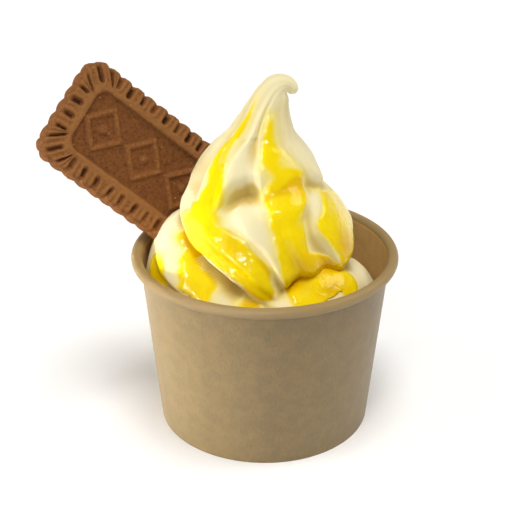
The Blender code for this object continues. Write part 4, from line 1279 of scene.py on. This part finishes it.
class SUNDAE_OT_biscuit(SundaeMaker, bpy.types.Operator):
    """Build the spiced biscuit: scalloped edge, slotted border, frame line and lozenge panel"""

    bl_idname = "sundae.biscuit"
    bl_label = "Spiced Biscuit"

    def execute(self, context):
        settings = context.scene.sundae_biscuit
        x, y, out_x, out_y, scallop = biscuit_edge()
        notch = SCALLOP_DEPTH * (1.0 - np.abs(np.sin(math.pi * scallop)) ** NOTCH_POINT)
        edge_x, edge_y = x - notch * out_x, y - notch * out_y
        frame_x, frame_y = frame_line(x, y, out_x, out_y)
        reach = BISCUIT_LENGTH / 2.0 - BORDER_END - (BISCUIT_WIDTH / 2.0 - BORDER_SIDE)
        spine_x = np.clip(frame_x, -reach, reach)
        stations = biscuit_stations()
        bm = fine_grid(BISCUIT_STEPS, len(stations) - 1)
        column, row, _ = grid_places(bm, BISCUIT_STEPS, len(stations) - 1)
        index = column % BISCUIT_STEPS
        share, inner, level = stations[row].T
        ex, ey, fx, fy, sx = (a[index] for a in (edge_x, edge_y, frame_x, frame_y, spine_x))
        px = ex + (fx - ex) * share + (sx - fx) * inner
        py = ey + (fy - ey) * share - fy * inner
        width = np.hypot(fx - ex, fy - ey)
        edge, panel = share * width, np.hypot(sx - fx, fy) * inner
        slot_depth, rise = settings.slot_depth / MM, settings.ornament_rise / MM
        face = biscuit_face(edge, width, panel, scallop[index], px, py, slot_depth, rise)
        under = -BISCUIT_THICK / 2.0 + edge_fall(edge)
        between = 0.5 * (level + 1.0)
        pz = under * (1.0 - between) + face * between
        bulge = EDGE_BULGE * (1.0 - level**2)
        places = np.stack([px + bulge * out_x[index], py + bulge * out_y[index], pz], -1)
        # Share for the painted shade: low deep in the slots, with floors on the side and the rounded edge
        raised = np.where(level == 1.0, (pz - BISCUIT_THICK / 2.0 + DEPTH_SHADE_HEIGHT) / DEPTH_SHADE_HEIGHT, DEPTH_SHADE_SIDE)
        raised = np.where(edge < EDGE_ROUND, np.maximum(raised, DEPTH_SHADE_EDGE), raised)
        lay(bm, places, {"raised": np.clip(raised, 0.0, DEPTH_SHADE_MOST)})
        roughen(bm, CRUMB_LUMPS)
        bmesh.ops.transform(bm, matrix=biscuit_turn(), verts=bm.verts)
        biscuit = finish(bm, "biscuit", baked_biscuit(settings), BISCUIT_SMOOTH)
        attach(biscuit, "root")
        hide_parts("spiced_biscuit")
        return {"FINISHED"}


class SUNDAE_OT_sugar(SundaeMaker, bpy.types.Operator):
    """Scatter grains of browned sugar over the biscuit's face"""

    bl_idname = "sundae.sugar"
    bl_label = "Sugar Grains"

    def execute(self, context):
        settings = context.scene.sundae_biscuit
        biscuit = bpy.data.objects["biscuit"]
        normal = biscuit_turn().to_3x3() @ Vector((0, 0, 1))
        faces = [p for p in biscuit.data.polygons if p.normal.dot(normal) > GRAIN_FACING]
        random = np.random.default_rng(SEED + 1)
        bm = bmesh.new()
        for pick in random.choice(len(faces), settings.grains, replace=False):
            spot = faces[pick].center / MM - Vector((CUP_AXIS_X, 0.0, 0.0))
            size = random.uniform(*GRAIN_RADIUS)
            grain_verts = bmesh.ops.create_icosphere(bm, subdivisions=1, radius=size)["verts"]
            stretch = random.uniform(*GRAIN_STRETCH, 3)
            turn = Matrix.Rotation(random.uniform(0.0, math.tau), 4, Vector(random.normal(size=3)))
            place = Matrix.Translation(spot) @ turn @ Matrix.Diagonal((*stretch, 1.0))
            bmesh.ops.transform(bm, matrix=place, verts=grain_verts)
        sugar = finish(bm, "sugar_grains", melted_sugar(settings), GRAIN_SMOOTH)
        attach(sugar, "root")
        return {"FINISHED"}


def add_light(name, kind, energy, tint):
    """A light of a kind; gives it and its object."""
    light = bpy.data.lights.new(name, kind)
    light.energy = energy
    light.color = tint
    return light, linked(name, light)


def add_sun(name, strength, azimuth, elevation, width, tint=WHITE):
    """A soft light from a direction: azimuth 0 stands at the front and 90 to the right; gives its object."""
    light, obj = add_light(name, "SUN", strength, tint)
    light.angle = math.radians(width)
    a, e = math.radians(azimuth), math.radians(elevation)
    towards = Vector((math.sin(a) * math.cos(e), -math.cos(a) * math.cos(e), math.sin(e)))
    obj.rotation_euler = towards.to_track_quat("Z", "Y").to_euler()
    obj.location = towards
    return obj


def add_panel(name, power, place, size, aim_height, spread):
    """A soft square light at a place in metres, turned to a height on the cup's axis; gives its object."""
    light, obj = add_light(name, "AREA", power, LEFT_TINT)
    light.size = size
    light.spread = math.radians(spread)
    obj.location = Vector(place)
    aim = Vector((CUP_AXIS_X * MM, 0.0, aim_height * MM))
    obj.rotation_euler = (obj.location - aim).to_track_quat("Z", "Y").to_euler()
    return obj


class SUNDAE_OT_stage(SundaeMaker, bpy.types.Operator):
    """Set the plain pale floor, the soft lights and the camera"""

    bl_idname = "sundae.stage"
    bl_label = "Stage"

    def execute(self, context):
        settings = context.scene.sundae_stage
        bm = bmesh.new()
        bmesh.ops.create_grid(bm, x_segments=1, y_segments=1, size=FLOOR_HALF)
        floor = solid_object(bm, "floor", matt_floor(settings))
        side = add_panel("side_light", settings.side, SIDE_PLACE, size=0.45, aim_height=60.0, spread=180.0)
        low = add_panel("low_light", settings.low, LOW_PLACE, size=0.1, aim_height=22.0, spread=20.0)
        top = add_sun("top_light", settings.top, azimuth=15.0, elevation=78.0, width=30.0)
        for light in (side, low, top):
            light.visible_glossy = False
        add_sun("fill_light", settings.fill, azimuth=105.0, elevation=42.0, width=30.0, tint=RIGHT_TINT)
        add_sun("front_light", settings.front, azimuth=-20.0, elevation=40.0, width=20.0, tint=RIGHT_TINT)
        for name, azimuth, elevation in GLINT_LIGHTS:
            add_sun(name, settings.glint, azimuth, elevation, GLINT_WIDTH).visible_diffuse = False
        world = bpy.data.worlds.new("surroundings")
        world.use_nodes = True
        background = world.node_tree.nodes["Background"]
        background.inputs["Color"].default_value = solid(WHITE)
        background.inputs["Strength"].default_value = settings.sky
        context.scene.world = world
        context.scene.view_settings.view_transform = "Standard"
        camera = bpy.data.cameras.new("camera")
        camera.lens = settings.lens / MM
        holder = linked("camera", camera)
        axis = Vector((CUP_AXIS_X, 0.0, 0.0))
        place = (Vector(CAMERA_PLACE) + axis) * MM
        target = (Vector(CAMERA_TARGET) + axis) * MM
        holder.location = place
        holder.rotation_euler = (target - place).to_track_quat("-Z", "Y").to_euler()
        context.scene.camera = holder
        return {"FINISHED"}


class SUNDAE_PT_pieces(bpy.types.Panel):
    """Pieces of the sundae and what can be changed on them"""

    bl_label = "Lemon Yogurt Sundae"
    bl_space_type = "VIEW_3D"
    bl_region_type = "UI"
    bl_category = "Sundae"

    def draw(self, context):
        for group, operators in GROUPS.items():
            box = self.layout.box()
            settings = getattr(context.scene, group)
            for name in settings.bl_rna.properties.keys():
                if name not in ("rna_type", "name"):
                    box.prop(settings, name)
            for operator in operators:
                box.operator(operator.bl_idname)


SETTINGS = {
    "sundae_cup": SundaeCup,
    "sundae_yogurt": SundaeYogurt,
    "sundae_sauce": SundaeSauce,
    "sundae_biscuit": SundaeBiscuit,
    "sundae_stage": SundaeStage,
}
GROUPS = {
    "sundae_cup": (SUNDAE_OT_cup_wall, SUNDAE_OT_cup_base),
    "sundae_yogurt": (SUNDAE_OT_yogurt,),
    "sundae_sauce": (SUNDAE_OT_sauce,),
    "sundae_biscuit": (SUNDAE_OT_biscuit, SUNDAE_OT_sugar),
    "sundae_stage": (SUNDAE_OT_stage,),
}


def register():
    """Add the settings to the scene, and the operators and the panel to Blender."""
    for group, settings in SETTINGS.items():
        bpy.utils.register_class(settings)
        setattr(bpy.types.Scene, group, PointerProperty(type=settings))
        for operator in GROUPS[group]:
            bpy.utils.register_class(operator)
    bpy.utils.register_class(SUNDAE_PT_pieces)


def unregister():
    """Take them all away again."""
    bpy.utils.unregister_class(SUNDAE_PT_pieces)
    for group, settings in SETTINGS.items():
        for operator in GROUPS[group]:
            bpy.utils.unregister_class(operator)
        delattr(bpy.types.Scene, group)
        bpy.utils.unregister_class(settings)


def main():
    """Build every piece and the stage in order."""
    register()
    bpy.ops.sundae.cup_wall()
    bpy.ops.sundae.cup_base()
    bpy.ops.sundae.yogurt()
    bpy.ops.sundae.sauce()
    bpy.ops.sundae.biscuit()
    bpy.ops.sundae.sugar()
    bpy.ops.sundae.stage()


if __name__ == "__main__":
    main()
